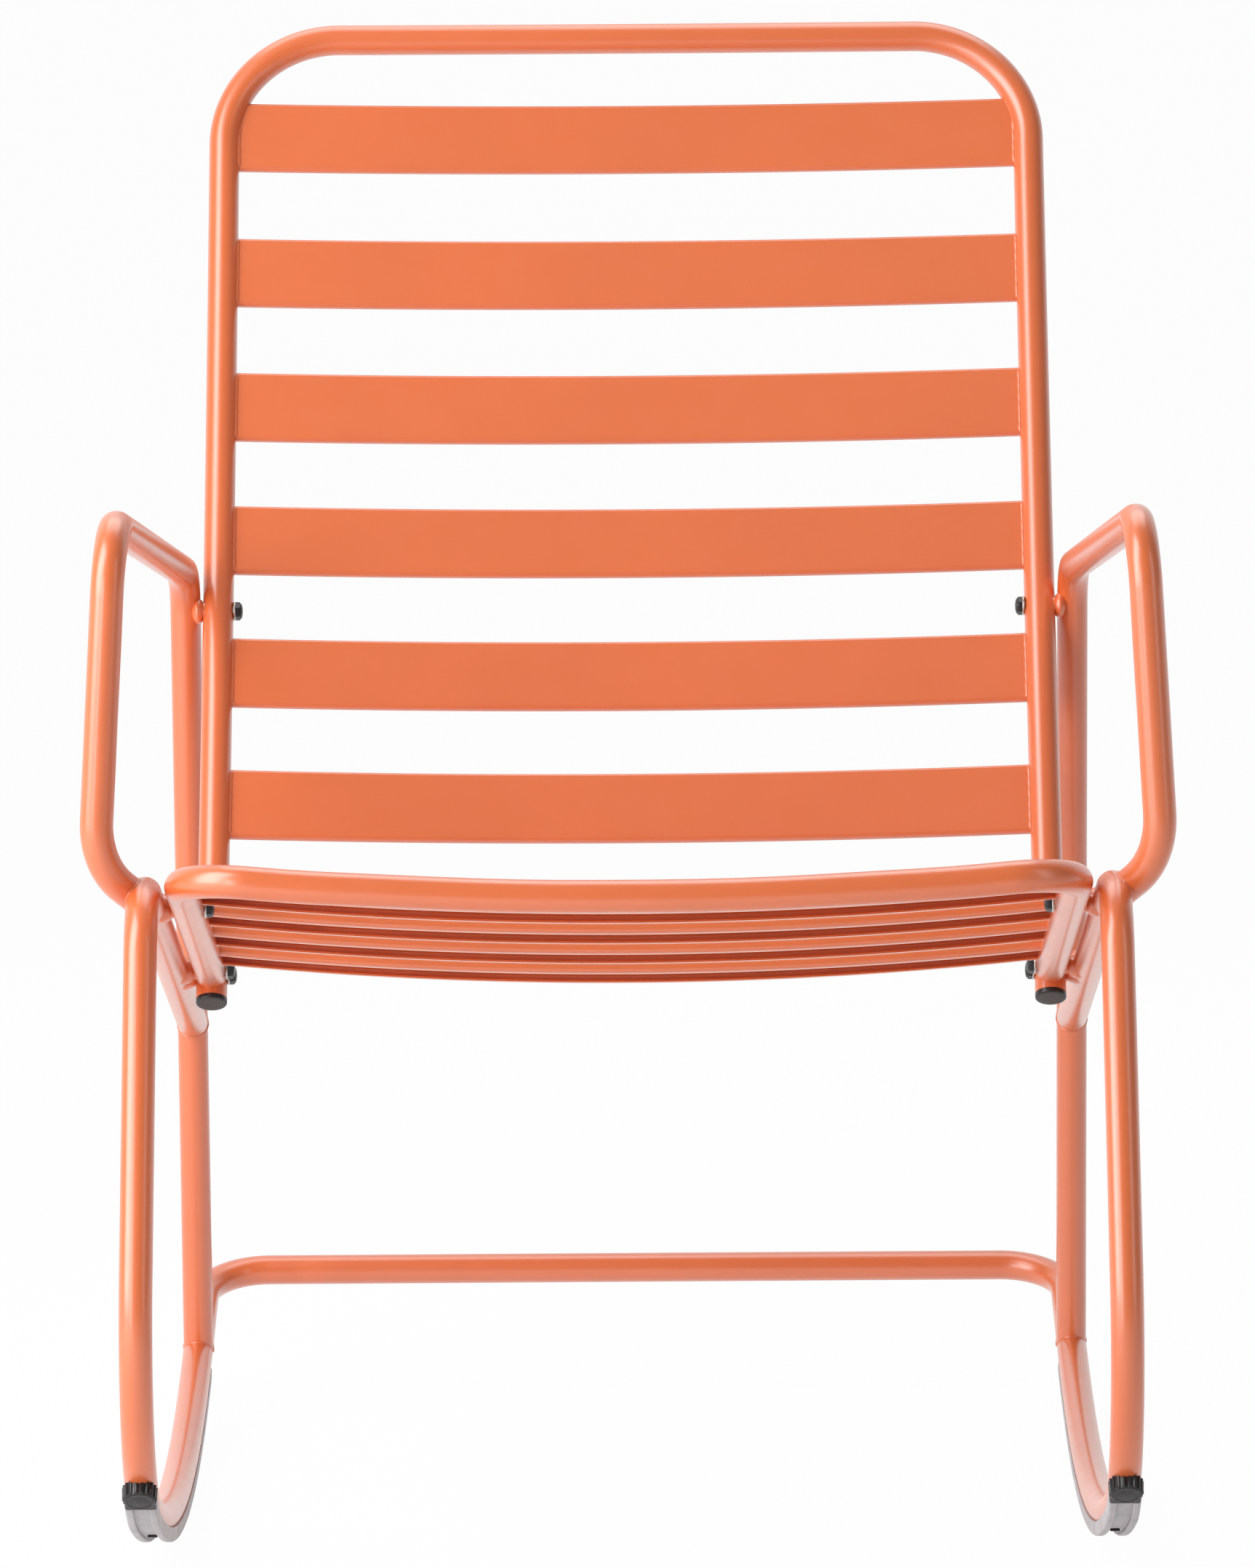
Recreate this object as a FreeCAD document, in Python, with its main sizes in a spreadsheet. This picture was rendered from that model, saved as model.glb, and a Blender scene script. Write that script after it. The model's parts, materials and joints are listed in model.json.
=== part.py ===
"""Garden rocking chair in bent steel tube with roll-formed slats.

The sitter faces -Y, +X is the viewer's right and Z is up. The chair stands on the floor plane z = 0
in its unloaded resting pose. Lengths are in millimetres and angles in degrees.

The side view is drawn from the seat joint, the point where a seat rail meets a back upright:
"along" means rearwards and "up" means above the floor.
"""
import FreeCAD, Part
import math
import os
import Sketcher
from FreeCAD import Placement, Rotation, Vector

doc = FreeCAD.newDocument("RockingChair")
sheet = doc.addObject("Spreadsheet::Sheet", "Sizes")

# Driving dimensions: alias, value, meaning
SIZES = [
    ("tube_diameter", 20.0, "outer diameter of every frame tube"),
    ("tube_wall", 1.2, "wall of every frame tube"),
    ("weld_gap", 0.1, "room left for the weld between two coped pieces"),
    ("frame_width", 536.0, "between the centres of the two uprights, and of the two seat rails"),
    ("joint_height", 343.0, "seat joint above the floor"),
    ("back_recline", 35.0, "uprights from the vertical at the seat joint"),
    ("back_curve_radius", 4319.0, "gentle curve of the uprights, towards the sitter at the top"),
    ("back_rise", 675.4, "seat joint to the top rail, along the upright"),
    ("back_drop", 17.0, "seat joint to the lower end of the upright"),
    ("back_corner_radius", 76.0, "bend between upright and top rail"),
    ("back_bow", 1.5, "how far the middle of the top rail stands back"),
    ("seat_slope", 17.0, "seat rails from the horizontal, falling to the rear"),
    ("seat_depth", 407.0, "front rail to seat joint, along the rail"),
    ("seat_corner_radius", 42.0, "bend between seat rail and front rail"),
    ("seat_bow", 14.3, "how far the middle of the front rail and of the seat slats hangs down"),
    ("bow_clear", 30.0, "straight length of a bowed rail beside each corner bend"),
    ("slat_width", 48.8, "face of a slat"),
    ("slat_thickness", 7.0, "depth of a slat's channel"),
    ("slat_sheet", 1.2, "sheet that the slats are rolled from"),
    ("slat_lip", 7.0, "inward lip along each edge of the channel"),
    ("back_slat_first", 122.5, "seat joint to the middle of the lowest back slat"),
    ("back_slat_pitch", 94.6, "step from the lowest back slat to the next"),
    ("back_slat_growth", 0.9, "how much longer each next step is"),
    ("back_slat_bow", 10.7, "how far the middle of the lowest back slat stands back"),
    ("back_slat_ease", 0.46, "how much flatter each next back slat is"),
    ("seat_slat_first", 84.0, "front rail to the middle of the first seat slat"),
    ("seat_slat_lift", 3.9, "seat slats above the middle of the seat rails"),
    ("seat_slat_last", 71.0, "middle of the last seat slat to the seat joint"),
    ("boss_gap", 3.0, "clear gap between a side frame and the seat, bridged by the bosses"),
    ("boss_diameter", 12.0, "welded boss round each stud"),
    ("stud_diameter", 6.0, "threaded stud"),
    ("stud_clearance", 0.2, "radial clearance of the studs in their holes"),
    ("stud_tail", 5.0, "how far a stud stands inside the side tube"),
    ("washer_diameter", 12.5, "steel washer under each nut"),
    ("washer_thickness", 1.5, "thickness of that washer"),
    ("nut_flats", 10.5, "cap nut across flats"),
    ("nut_hex_height", 3.2, "hexagonal part of the cap nut"),
    ("nut_dome_height", 1.4, "dome of the cap nut"),
    ("front_bolt_setback", 122.0, "front rail to the front seat stud, along the rail"),
    ("rear_bolt_lead", 24.0, "rear seat stud to the seat joint, along the rail"),
    ("arm_bolt_rise", 261.2, "seat joint to the stud through the arm, along the upright"),
    ("side_splay", 0.5, "outward lean of the side frames towards the floor"),
    ("arm_bend_radius", 40.0, "bend behind the armrest"),
    ("arm_bolt_offset", 6.0, "centre of the rear leg behind the arm stud"),
    ("arm_bend_rise", 25.4, "corner of that bend above the arm stud"),
    ("arm_slope", 9.4, "armrest from the horizontal, falling to the rear"),
    ("rear_leg_lean", 12.7, "rear leg from the vertical, the foot to the rear"),
    ("arm_tip_setback", 20.0, "front rail to the front end of the armrest"),
    ("arm_tip_spread", 17.2, "front end of the armrest outside the side frame"),
    ("arm_tip_radius", 36.0, "bend at the front end of the armrest"),
    ("arm_post_setback", 20.0, "front rail to the lower end of the arm post"),
    ("arm_post_spread", 28.0, "lower end of the arm post outside the side frame"),
    ("arm_post_rise", 4.0, "lower end of the arm post above the front leg's top"),
    ("arm_post_radius", 50.0, "bend at the lower end of the arm post"),
    ("arm_root_setback", 42.0, "front rail to the weld of the arm on the side bar"),
    ("arm_root_drop", 7.5, "that weld below the line of the side bar"),
    ("leg_top_setback", 20.0, "front rail to the corner between front leg and side bar"),
    ("leg_top_radius", 45.0, "bend of that corner"),
    ("leg_lean", 16.7, "front leg from the vertical, the toe to the front"),
    ("toe_setback", 41.0, "front rail to the front end of the rocker's arc"),
    ("toe_run", 8.0, "straight run between that arc and the toe bend, with the weld in its middle"),
    ("stop_slope", 45.7, "slope of the toe bend where the front stop sits"),
    ("stop_height", 7.2, "ribbed head of the front stop above the tube"),
    ("stop_diameter", 19.6, "over the ribs of that head"),
    ("stop_sink", 2.5, "how far the head's saddle reaches down the tube"),
    ("stop_rib_width", 1.9, "width of one rib"),
    ("stop_rib_depth", 0.9, "how far the ribs stand out"),
    ("stop_edge", 1.4, "bevel round the stop's tread"),
    ("stop_stem", 6.0, "stem of the stop, its diameter and its length inside the tube"),
    ("plug_head", 3.5, "visible head of the plug in an upright"),
    ("plug_edge", 1.2, "bevel round that head"),
    ("plug_stem", 10.5, "length of a plug's stem inside its tube"),
    ("plug_clearance", 0.15, "radial clearance of a plug's stem"),
    ("rocker_radius", 1100.0, "arc of the rockers' centre line"),
    ("rocker_contact", 1.9, "floor contact behind the seat joint"),
    ("rocker_rear_angle", 13.9, "arc from the contact to its rear end"),
    ("rocker_rear_radius", 44.0, "bend between rocker and rear crossbar"),
    ("crossbar_setback", 389.0, "rear crossbar behind the floor contact"),
    ("glide_thickness", 5.0, "glide below the rocker tube"),
    ("glide_width", 19.4, "glide across its side walls"),
    ("glide_wall_rise", 6.0, "top of the side walls below the tube's centre line"),
    ("glide_tread_width", 19.0, "over the two ridges that meet the floor"),
    ("glide_groove_width", 9.6, "groove between the ridges"),
    ("glide_groove_depth", 3.4, "depth of that groove"),
    ("glide_front_slope", 41.0, "slope of the toe bend where the glide ends"),
    ("glide_rear_angle", 13.0, "glide from the contact to its rear end"),
    ("end_cap_slope", 2.6, "length of the cap before each glide, as an angle of the toe bend"),
    ("rest_flat", 56.0, "length of the flat on which the unloaded chair rests"),
    ("screw_diameter", 4.0, "shank of the screws that hold a glide"),
    ("screw_head_diameter", 6.0, "head of those screws"),
    ("screw_head_height", 1.6, "height of that head"),
    ("screw_tail", 3.0, "how far those screws stand inside the tube"),
    ("screw_inset", 3.6, "front and rear screw from the glide's ends, as an angle of the arc"),
]
for row, (alias, value, meaning) in enumerate(SIZES, start=1):
    sheet.set("A%d" % row, meaning)
    sheet.set("B%d" % row, str(value))
    sheet.setAlias("B%d" % row, alias)
doc.recompute()

BACK_SLATS = 6
SEAT_SLATS = 4
STOP_RIBS = 18
parts = []


def size(alias):
    """Value of one driving dimension."""
    return float(getattr(sheet, alias))


def turn(alias):
    """Value of one driving angle in radians."""
    return math.radians(size(alias))


def bound(kind, name, **expressions):
    """New document object whose properties follow expressions on the sheet."""
    made = doc.addObject(kind, name)
    for prop, expression in expressions.items():
        made.setExpression(prop, expression)
    return made


def keep(made, label):
    """Name a finished sub-part, which is written to a file of that name."""
    made.Label = label
    parts.append(made)
    return made


def cut(name, base, tools):
    """Base less each tool in turn."""
    for index, tool in enumerate(tools):
        step = doc.addObject("Part::Cut", "%s_cut%d" % (name, index))
        step.Base = base
        step.Tool = tool
        base = step
    return base


def mirrored(source, name):
    """Copy of an object on the other side of the plane x = 0."""
    copy = doc.addObject("Part::Mirroring", name)
    copy.Source = source
    copy.Base = Vector(0, 0, 0)
    copy.Normal = Vector(1, 0, 0)
    return copy


def group(name, members):
    """Identical pieces that share one file."""
    made = doc.addObject("Part::Compound", name)
    made.Links = members
    return made


def bent_wire(corners, radii):
    """Straight runs joined by tangent arcs: one radius for each inner corner."""
    edges = []
    start = corners[0]
    for before, corner, after, radius in zip(corners, corners[1:], corners[2:], radii):
        arriving = (corner - before).normalize()
        leaving = (after - corner).normalize()
        half_turn = arriving.getAngle(leaving) / 2
        reach = radius * math.tan(half_turn)
        arc_start = corner - arriving * reach
        arc_end = corner + leaving * reach
        inward = (leaving - arriving).normalize()
        arc_middle = corner + inward * (radius / math.cos(half_turn) - radius)
        edges.append(Part.LineSegment(start, arc_start).toShape())
        edges.append(Part.Arc(arc_start, arc_middle, arc_end).toShape())
        start = arc_end
    edges.append(Part.LineSegment(start, corners[-1]).toShape())
    return Part.Wire(edges)


def swept_rod(name, path, radius_expression):
    """Solid rod along a path, with its radius bound to the sheet."""
    first = path.Shape.Edges[0]
    heading = first.tangentAt(first.FirstParameter)
    ring = bound("Part::Circle", name + "_ring", Radius=radius_expression)
    ring.Placement = Placement(path.Shape.Vertexes[0].Point, Rotation(Vector(0, 0, 1), heading))
    rod = doc.addObject("Part::Sweep", name)
    rod.Sections = [ring]
    rod.Spine = (path, ["Edge%d" % (i + 1) for i in range(len(path.Shape.Edges))])
    rod.Solid = True
    rod.Frenet = False
    rod.Transition = "Right corner"
    return rod


def make_path(name, corners, radii=()):
    """Centre line of a tube."""
    path = doc.addObject("Part::Feature", name + "_path")
    path.Shape = bent_wire(corners, radii)
    return path


def make_tube(name, path):
    """Hollow tube along a path."""
    outer = swept_rod(name + "_outer", path, "Sizes.tube_diameter / 2")
    inner = swept_rod(name + "_inner", path, "Sizes.tube_diameter / 2 - Sizes.tube_wall")
    return cut(name + "_bore", outer, [inner])


def coping_rod(name, path):
    """Rod that the neighbours of a tube are cut with."""
    return swept_rod(name + "_coping", path, "Sizes.tube_diameter / 2 + Sizes.weld_gap")


def cross_rod(name, at, x_from, x_to, radius_expression):
    """Round rod along X from x_from to x_to."""
    rod = bound("Part::Cylinder", name, Radius=radius_expression)
    rod.Height = abs(x_to - x_from)
    heading = Vector(math.copysign(1, x_to - x_from), 0, 0)
    rod.Placement = Placement(Vector(x_from, at.y, at.z), Rotation(Vector(0, 0, 1), heading))
    return rod


def draw(sketch, corners):
    """Closed outline of straight lines whose corners are pairs of expressions on the sheet."""
    points = [Vector(float(sketch.evalExpression(x)), float(sketch.evalExpression(y)), 0) for x, y in corners]
    for start, end in zip(points, points[1:] + points[:1]):
        sketch.addGeometry(Part.LineSegment(start, end), False)
    for index in range(len(points)):
        sketch.addConstraint(Sketcher.Constraint("Coincident", index, 2, (index + 1) % len(points), 1))
    for index, pair in enumerate(corners):
        for kind, expression, value in zip(("DistanceX", "DistanceY"), pair, points[index]):
            number = sketch.addConstraint(Sketcher.Constraint(kind, -1, 1, index, 1, value))
            sketch.setExpression("Constraints[%d]" % number, expression)


def outline(body, name, plane_role, corners):
    """Outline on one of a body's own origin planes."""
    sketch = body.newObject("Sketcher::SketchObject", name)
    plane = next(item for item in body.Origin.OriginFeatures if item.Role == plane_role)
    sketch.AttachmentSupport = [(plane, "")]
    sketch.MapMode = "FlatFace"
    draw(sketch, corners)
    return sketch


def turned_body(name, corners, angle_expression="360", axis_height=None):
    """Body turned about the sketch's own X axis, or about a line parallel to it at axis_height."""
    body = doc.addObject("PartDesign::Body", name)
    sketch = outline(body, name + "_outline", "YZ_Plane", corners)
    axis = "H_Axis"
    if axis_height:
        height = float(sketch.evalExpression(axis_height))
        line = sketch.addGeometry(Part.LineSegment(Vector(-1, height, 0), Vector(1, height, 0)), True)
        sketch.addConstraint(Sketcher.Constraint("Horizontal", line))
        sketch.addConstraint(Sketcher.Constraint("DistanceX", -1, 1, line, 1, -1))
        sketch.addConstraint(Sketcher.Constraint("DistanceX", -1, 1, line, 2, 1))
        number = sketch.addConstraint(Sketcher.Constraint("DistanceY", -1, 1, line, 1, height))
        sketch.setExpression("Constraints[%d]" % number, axis_height)
        axis = "Axis0"
    doc.recompute()
    solid = body.newObject("PartDesign::Revolution", name + "_turned")
    solid.Profile = sketch
    solid.ReferenceAxis = (sketch, [axis])
    solid.setExpression("Angle", angle_expression)
    solid.Midplane = True
    return body


# Side view of the frame
TUBE_RADIUS = size("tube_diameter") / 2
RAIL_X = size("frame_width") / 2
SIDE_X = RAIL_X + size("tube_diameter") + size("boss_gap")
JOINT_Y = 0.0
JOINT_Z = size("joint_height")


CURVE_END = size("back_rise") - size("back_corner_radius") - size("bow_clear") / 2


def recline_at(distance):
    """Recline of the upright, in radians, at a distance along it from the seat joint."""
    return turn("back_recline") - min(max(distance, 0.0), CURVE_END) / size("back_curve_radius")


def up_the_back(distance):
    """Along and up of a point on the upright: an arc from the seat joint, straight beyond its ends."""
    radius = size("back_curve_radius")
    low, here = turn("back_recline"), recline_at(distance)
    straight = distance - min(max(distance, 0.0), CURVE_END)
    along = radius * (math.cos(here) - math.cos(low)) + straight * math.sin(here)
    up = radius * (math.sin(low) - math.sin(here)) + straight * math.cos(here)
    return JOINT_Y + along, JOINT_Z + up


def along_seat(distance):
    """Along and up of a point on the seat rail, measured forwards from the seat joint."""
    fall = turn("seat_slope")
    return JOINT_Y - distance * math.cos(fall), JOINT_Z + distance * math.sin(fall)


def side_x(height):
    """Distance of the side frame from the middle plane, which grows towards the floor."""
    seat_height = (JOINT_Z + along_seat(size("seat_depth"))[1]) / 2
    return SIDE_X + (seat_height - height) * math.tan(turn("side_splay"))


def on_side(along, up, outside=0.0):
    """Point of the left side frame."""
    return Vector(-side_x(up) - outside, along, up)


FRONT_Z = along_seat(size("seat_depth"))[1]


def front_y():
    """Along of the front rail."""
    return along_seat(size("seat_depth"))[0]


def bowed_u(name, side, side_radii, corner, bow, corner_radius):
    """U of one tube: up the points of a side to its corner, and bowed between the two corners.

    The bow has four bends on a parabola, at an outer and an inner share of the half width.
    """
    outer = 1 - (corner_radius + size("bow_clear")) / RAIL_X
    left = [Vector(-RAIL_X, *point) for point in side + [corner]]
    left += [Vector(-RAIL_X * share, *corner) + bow * (1 - share ** 2) for share in (outer, outer / 3)]
    right = [Vector(-p.x, p.y, p.z) for p in reversed(left)]
    corners = left + right
    radii = list(side_radii) + [corner_radius]
    for before, here, after, reach in ((-3, -2, -1, 0.7 * size("bow_clear")), (-2, -1, 0, RAIL_X * outer / 4)):
        ahead = right[0] if after == 0 else left[after]
        half_turn = (left[here] - left[before]).getAngle(ahead - left[here]) / 2
        radii.append(reach / math.tan(half_turn))
    return make_path(name, corners, radii + radii[::-1])


def back_path():
    """Inverted U: two gently curved uprights and a top rail that bows to the rear."""
    lean = recline_at(size("back_rise"))
    rearwards = Vector(0, math.cos(lean), -math.sin(lean)) * size("back_bow")
    radius = size("back_curve_radius")
    reach = radius * math.tan((turn("back_recline") - lean) / 2)
    along, up = up_the_back(0.0)
    bend = (along + reach * math.sin(turn("back_recline")), up + reach * math.cos(turn("back_recline")))
    side = [up_the_back(-size("back_drop")), bend]
    return bowed_u("back_frame", side, [radius], up_the_back(size("back_rise")), rearwards, size("back_corner_radius"))


def seat_path():
    """U that opens to the rear: two seat rails and a front rail that bows down."""
    fall = turn("seat_slope")
    downwards = Vector(0, -math.sin(fall), -math.cos(fall)) * size("seat_bow")
    return bowed_u("seat_frame", [(JOINT_Y, JOINT_Z)], [], (front_y(), FRONT_Z), downwards,
                   size("seat_corner_radius"))


def rest_sagitta():
    """How much the flat at the contact takes off the glide."""
    radius = size("rocker_radius") + TUBE_RADIUS + size("glide_thickness")
    return radius - math.sqrt(radius ** 2 - (size("rest_flat") / 2) ** 2)


ROCKER_LOW = TUBE_RADIUS + size("glide_thickness") - rest_sagitta()
ROCKER_X = side_x(ROCKER_LOW)


def contact_y():
    """Along of the floor contact."""
    return JOINT_Y + size("rocker_contact")


def on_rocker(angle):
    """Along and up of the rocker's centre line, at an angle of its arc behind the contact."""
    radius = size("rocker_radius")
    return contact_y() + radius * math.sin(angle), ROCKER_LOW + radius * (1 - math.cos(angle))


def leg_top():
    """Corner between front leg and side bar."""
    return along_seat(size("seat_depth") - size("leg_top_setback"))


def rocker_front_angle():
    """Arc from the contact to its front end, which lies a set distance behind the front rail."""
    return math.asin((contact_y() - front_y() - size("toe_setback")) / size("rocker_radius"))


def toe_corner():
    """Where the front leg's line meets the tangent at the front end of the rocker's arc."""
    angle = rocker_front_angle()
    end_along, end_up = on_rocker(-angle)
    top_along, top_up = leg_top()
    lean, slope = math.tan(turn("leg_lean")), math.tan(angle)
    # up = end_up + slope * (end_along - along) and along = top_along - lean * (top_up - up)
    up = (end_up + slope * (end_along - top_along + lean * top_up)) / (1 + slope * lean)
    return top_along - lean * (top_up - up), up


def toe_radius():
    """Radius of the toe bend, which leaves the straight run before the arc."""
    angle = rocker_front_angle()
    room = math.dist(toe_corner(), on_rocker(-angle)) - size("toe_run")
    return room / math.tan((math.pi / 2 - angle + turn("leg_lean")) / 2)


def toe_joint(ahead=0.0):
    """Weld between leg and rocker, in the middle of the straight run."""
    angle = rocker_front_angle()
    along, up = on_rocker(-angle)
    run = size("toe_run") / 2 + ahead
    return Vector(-ROCKER_X, along - run * math.cos(angle), up + run * math.sin(angle))


def on_toe(slope):
    """Point of the toe bend where the tube rises forwards at a slope, in radians."""
    angle = rocker_front_angle()
    along, up = on_rocker(-angle)
    run, radius = size("toe_run"), toe_radius()
    along += -run * math.cos(angle) + radius * (math.sin(angle) - math.sin(slope))
    up += run * math.sin(angle) + radius * (math.cos(angle) - math.cos(slope))
    return Vector(-ROCKER_X, along, up)


def leg_corners():
    """From the weld on the rocker round the toe, up the front leg and back along the side bar."""
    return [toe_joint(), Vector(-ROCKER_X, *toe_corner()), on_side(*leg_top()), on_side(*bar_end())]


def rear_leg_line():
    """A point of the rear leg's centre line and how far it moves rearwards per unit of fall."""
    along, up = up_the_back(size("arm_bolt_rise"))
    return (along + size("arm_bolt_offset"), up), math.tan(turn("rear_leg_lean"))


def bar_end():
    """Where the side bar, in line with the seat rail, meets the rear leg."""
    (leg_along, leg_up), lean = rear_leg_line()
    fall = math.tan(turn("seat_slope"))
    # up = JOINT_Z - fall * (along - JOINT_Y) and along = leg_along + lean * (leg_up - up)
    along = (leg_along + lean * (leg_up - JOINT_Z - fall * JOINT_Y)) / (1 - lean * fall)
    return along, JOINT_Z - fall * (along - JOINT_Y)


def rear_leg_foot():
    """Where the rear leg meets the rocker's centre line, found by repeated steps."""
    (leg_along, leg_up), lean = rear_leg_line()
    radius = size("rocker_radius")
    up = ROCKER_LOW
    for _ in range(30):
        along = leg_along + lean * (leg_up - up)
        up = ROCKER_LOW + radius - math.sqrt(radius ** 2 - (along - contact_y()) ** 2)
    return along, up


def arm_corners():
    """Arm from its weld on the side bar, up the post, along the armrest and down the rear leg."""
    root = along_seat(size("seat_depth") - size("arm_root_setback"))
    root = (root[0], root[1] - size("arm_root_drop"))
    post = (front_y() + size("arm_post_setback"), FRONT_Z + size("arm_post_rise"))
    (leg_along, leg_up), lean = rear_leg_line()
    bend = (leg_along - lean * size("arm_bend_rise"), leg_up + size("arm_bend_rise"))
    tip_along = front_y() + size("arm_tip_setback")
    tip = (tip_along, bend[1] + (bend[0] - tip_along) * math.tan(turn("arm_slope")))
    return [on_side(*root), on_side(*post, size("arm_post_spread")), on_side(*tip, size("arm_tip_spread")),
            on_side(*bend), on_side(*rear_leg_foot())]


def rocker_corners():
    """Left half of the base: weld at the toe, rocker arc and bend to the crossbar."""
    front, rear = rocker_front_angle(), turn("rocker_rear_angle")
    reach = size("rocker_radius") * math.tan((front + rear) / 2)
    front_end, rear_end = on_rocker(-front), on_rocker(rear)
    arc_corner = (front_end[0] + reach * math.cos(front), front_end[1] - reach * math.sin(front))
    bar_y = contact_y() + size("crossbar_setback")
    bar = (bar_y, rear_end[1] + (bar_y - rear_end[0]) * math.tan(rear))
    return [toe_joint(-size("weld_gap"))] + [Vector(-ROCKER_X, *p) for p in (arc_corner, bar)]


ARM_RADII = [size("arm_post_radius"), size("arm_tip_radius"), size("arm_bend_radius")]
ROCKER_RADII = [size("rocker_radius"), size("rocker_rear_radius")]


def middle_of_depth():
    """Along of the middle between the toes and the rearmost tube."""
    front = on_toe(math.pi / 2).y
    top_rail = up_the_back(size("back_rise"))[0] + size("back_bow") * math.cos(recline_at(size("back_rise")))
    return (front + max(top_rail, rocker_corners()[-1].y)) / 2


# The origin lies under the middle of the chair
JOINT_Y = -middle_of_depth()

# Centre lines; the left side is drawn and the right side is its mirror image
leg_path = make_path("front_leg", leg_corners(), [toe_radius(), size("leg_top_radius")])
arm_path = make_path("arm", arm_corners(), ARM_RADII)
left_half = rocker_corners()
right_half = [Vector(-p.x, p.y, p.z) for p in reversed(left_half)]
rocker_path = make_path("rocker_base", left_half + right_half, ROCKER_RADII + ROCKER_RADII[::-1])
hoop_path = back_path()
seat_u_path = seat_path()
toe, shoulder, bar_rear = leg_corners()[1:]
shoulder_ends = [(toe + shoulder) / 2, shoulder, (shoulder + bar_rear) / 2]
shoulder_path = make_path("shoulder", shoulder_ends, [size("leg_top_radius")])
rear_leg_path = make_path("rear_leg", arm_corners()[-2:])
doc.recompute()

back_coping = coping_rod("back_frame", hoop_path)
seat_coping = coping_rod("seat_frame", seat_u_path)
leg_coping = coping_rod("front_leg", leg_path)
arm_coping = coping_rod("arm", arm_path)
rocker_coping = coping_rod("rocker_base", rocker_path)
shoulder_coping = coping_rod("shoulder", shoulder_path)
rear_leg_coping = coping_rod("rear_leg", rear_leg_path)

# Studs by name: along and up of each, and the coping rods of the tubes that its boss joins
STUDS = {
    "arm": (up_the_back(size("arm_bolt_rise")), [back_coping, arm_coping]),
    "back": (up_the_back(0.0), [back_coping, seat_coping, leg_coping]),
    "seat_front": (along_seat(size("seat_depth") - size("front_bolt_setback")), [seat_coping, leg_coping]),
    "seat_rear": (along_seat(size("rear_bolt_lead")), [seat_coping, leg_coping]),
}
NUT_FACE = RAIL_X - TUBE_RADIUS
BOSS_RADIUS = "Sizes.boss_diameter / 2"
STUD_RADIUS = "Sizes.stud_diameter / 2"
HOLE_RADIUS = STUD_RADIUS + " + Sizes.stud_clearance"
holes = {}
bosses = {}
studs = {}
washers = []
nuts = []


def cap_nut(name, at):
    """Black cap nut on the inner side of the left rail."""
    base_x = -(NUT_FACE - size("washer_thickness"))
    to_inside = Rotation(Vector(0, 0, 1), Vector(1, 0, 0))
    hexagon = bound("Part::Prism", name + "_hexagon", Circumradius="Sizes.nut_flats / sqrt(3)",
                    Height="Sizes.nut_hex_height")
    hexagon.Polygon = 6
    hexagon.Placement = Placement(Vector(base_x, *at), to_inside)
    foot_radius = "(Sizes.nut_flats / 2 - 0.2)"
    radius = "(%s ^ 2 + Sizes.nut_dome_height ^ 2) / (2 * Sizes.nut_dome_height)" % foot_radius
    dome = bound("Part::Sphere", name + "_dome", Radius=radius,
                 Angle1="asin(1 - Sizes.nut_dome_height / (%s))" % radius)
    sphere_radius = float(dome.evalExpression(radius))
    sphere_x = base_x + size("nut_hex_height") + size("nut_dome_height") - sphere_radius
    dome.Placement = Placement(Vector(sphere_x, *at), to_inside)
    whole = doc.addObject("Part::Fuse", name + "_whole")
    whole.Base = hexagon
    whole.Tool = dome
    thread = cross_rod(name + "_thread", Vector(0, *at), base_x - 1, base_x + size("nut_hex_height") + 1,
                       STUD_RADIUS)
    return cut(name, whole, [thread])


def flat_washer(name, at):
    """Steel washer between the left rail and its nut."""
    disc_end = -(NUT_FACE - size("washer_thickness"))
    disc = cross_rod(name + "_disc", Vector(0, *at), -NUT_FACE, disc_end, "Sizes.washer_diameter / 2")
    hole = cross_rod(name + "_bore", Vector(0, *at), -NUT_FACE - 1, disc_end + 1, HOLE_RADIUS)
    return cut(name, disc, [hole])


for place, (at, copings) in STUDS.items():
    spot = Vector(0, *at)
    outside = side_x(at[1])
    hole = cross_rod(place + "_hole", spot, -outside, -NUT_FACE + TUBE_RADIUS, HOLE_RADIUS)
    holes[place] = [hole, mirrored(hole, place + "_hole_right")]
    round_boss = cross_rod(place + "_boss", spot, -outside, -RAIL_X, BOSS_RADIUS)
    boss = cut(place + "_boss", round_boss, copings + [hole])
    tail_x = -(outside - TUBE_RADIUS + size("tube_wall") + size("stud_tail"))
    tip_x = -(NUT_FACE - size("washer_thickness") - size("nut_hex_height"))
    stud = cross_rod(place + "_stud", spot, tail_x, tip_x, STUD_RADIUS)
    washer = flat_washer(place + "_washer", at)
    nut = cap_nut(place + "_nut", at)
    bosses[place] = [boss, mirrored(boss, place + "_boss_right")]
    studs[place] = [stud, mirrored(stud, place + "_stud_right")]
    washers += [washer, mirrored(washer, place + "_washer_right")]
    nuts += [nut, mirrored(nut, place + "_nut_right")]

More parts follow.
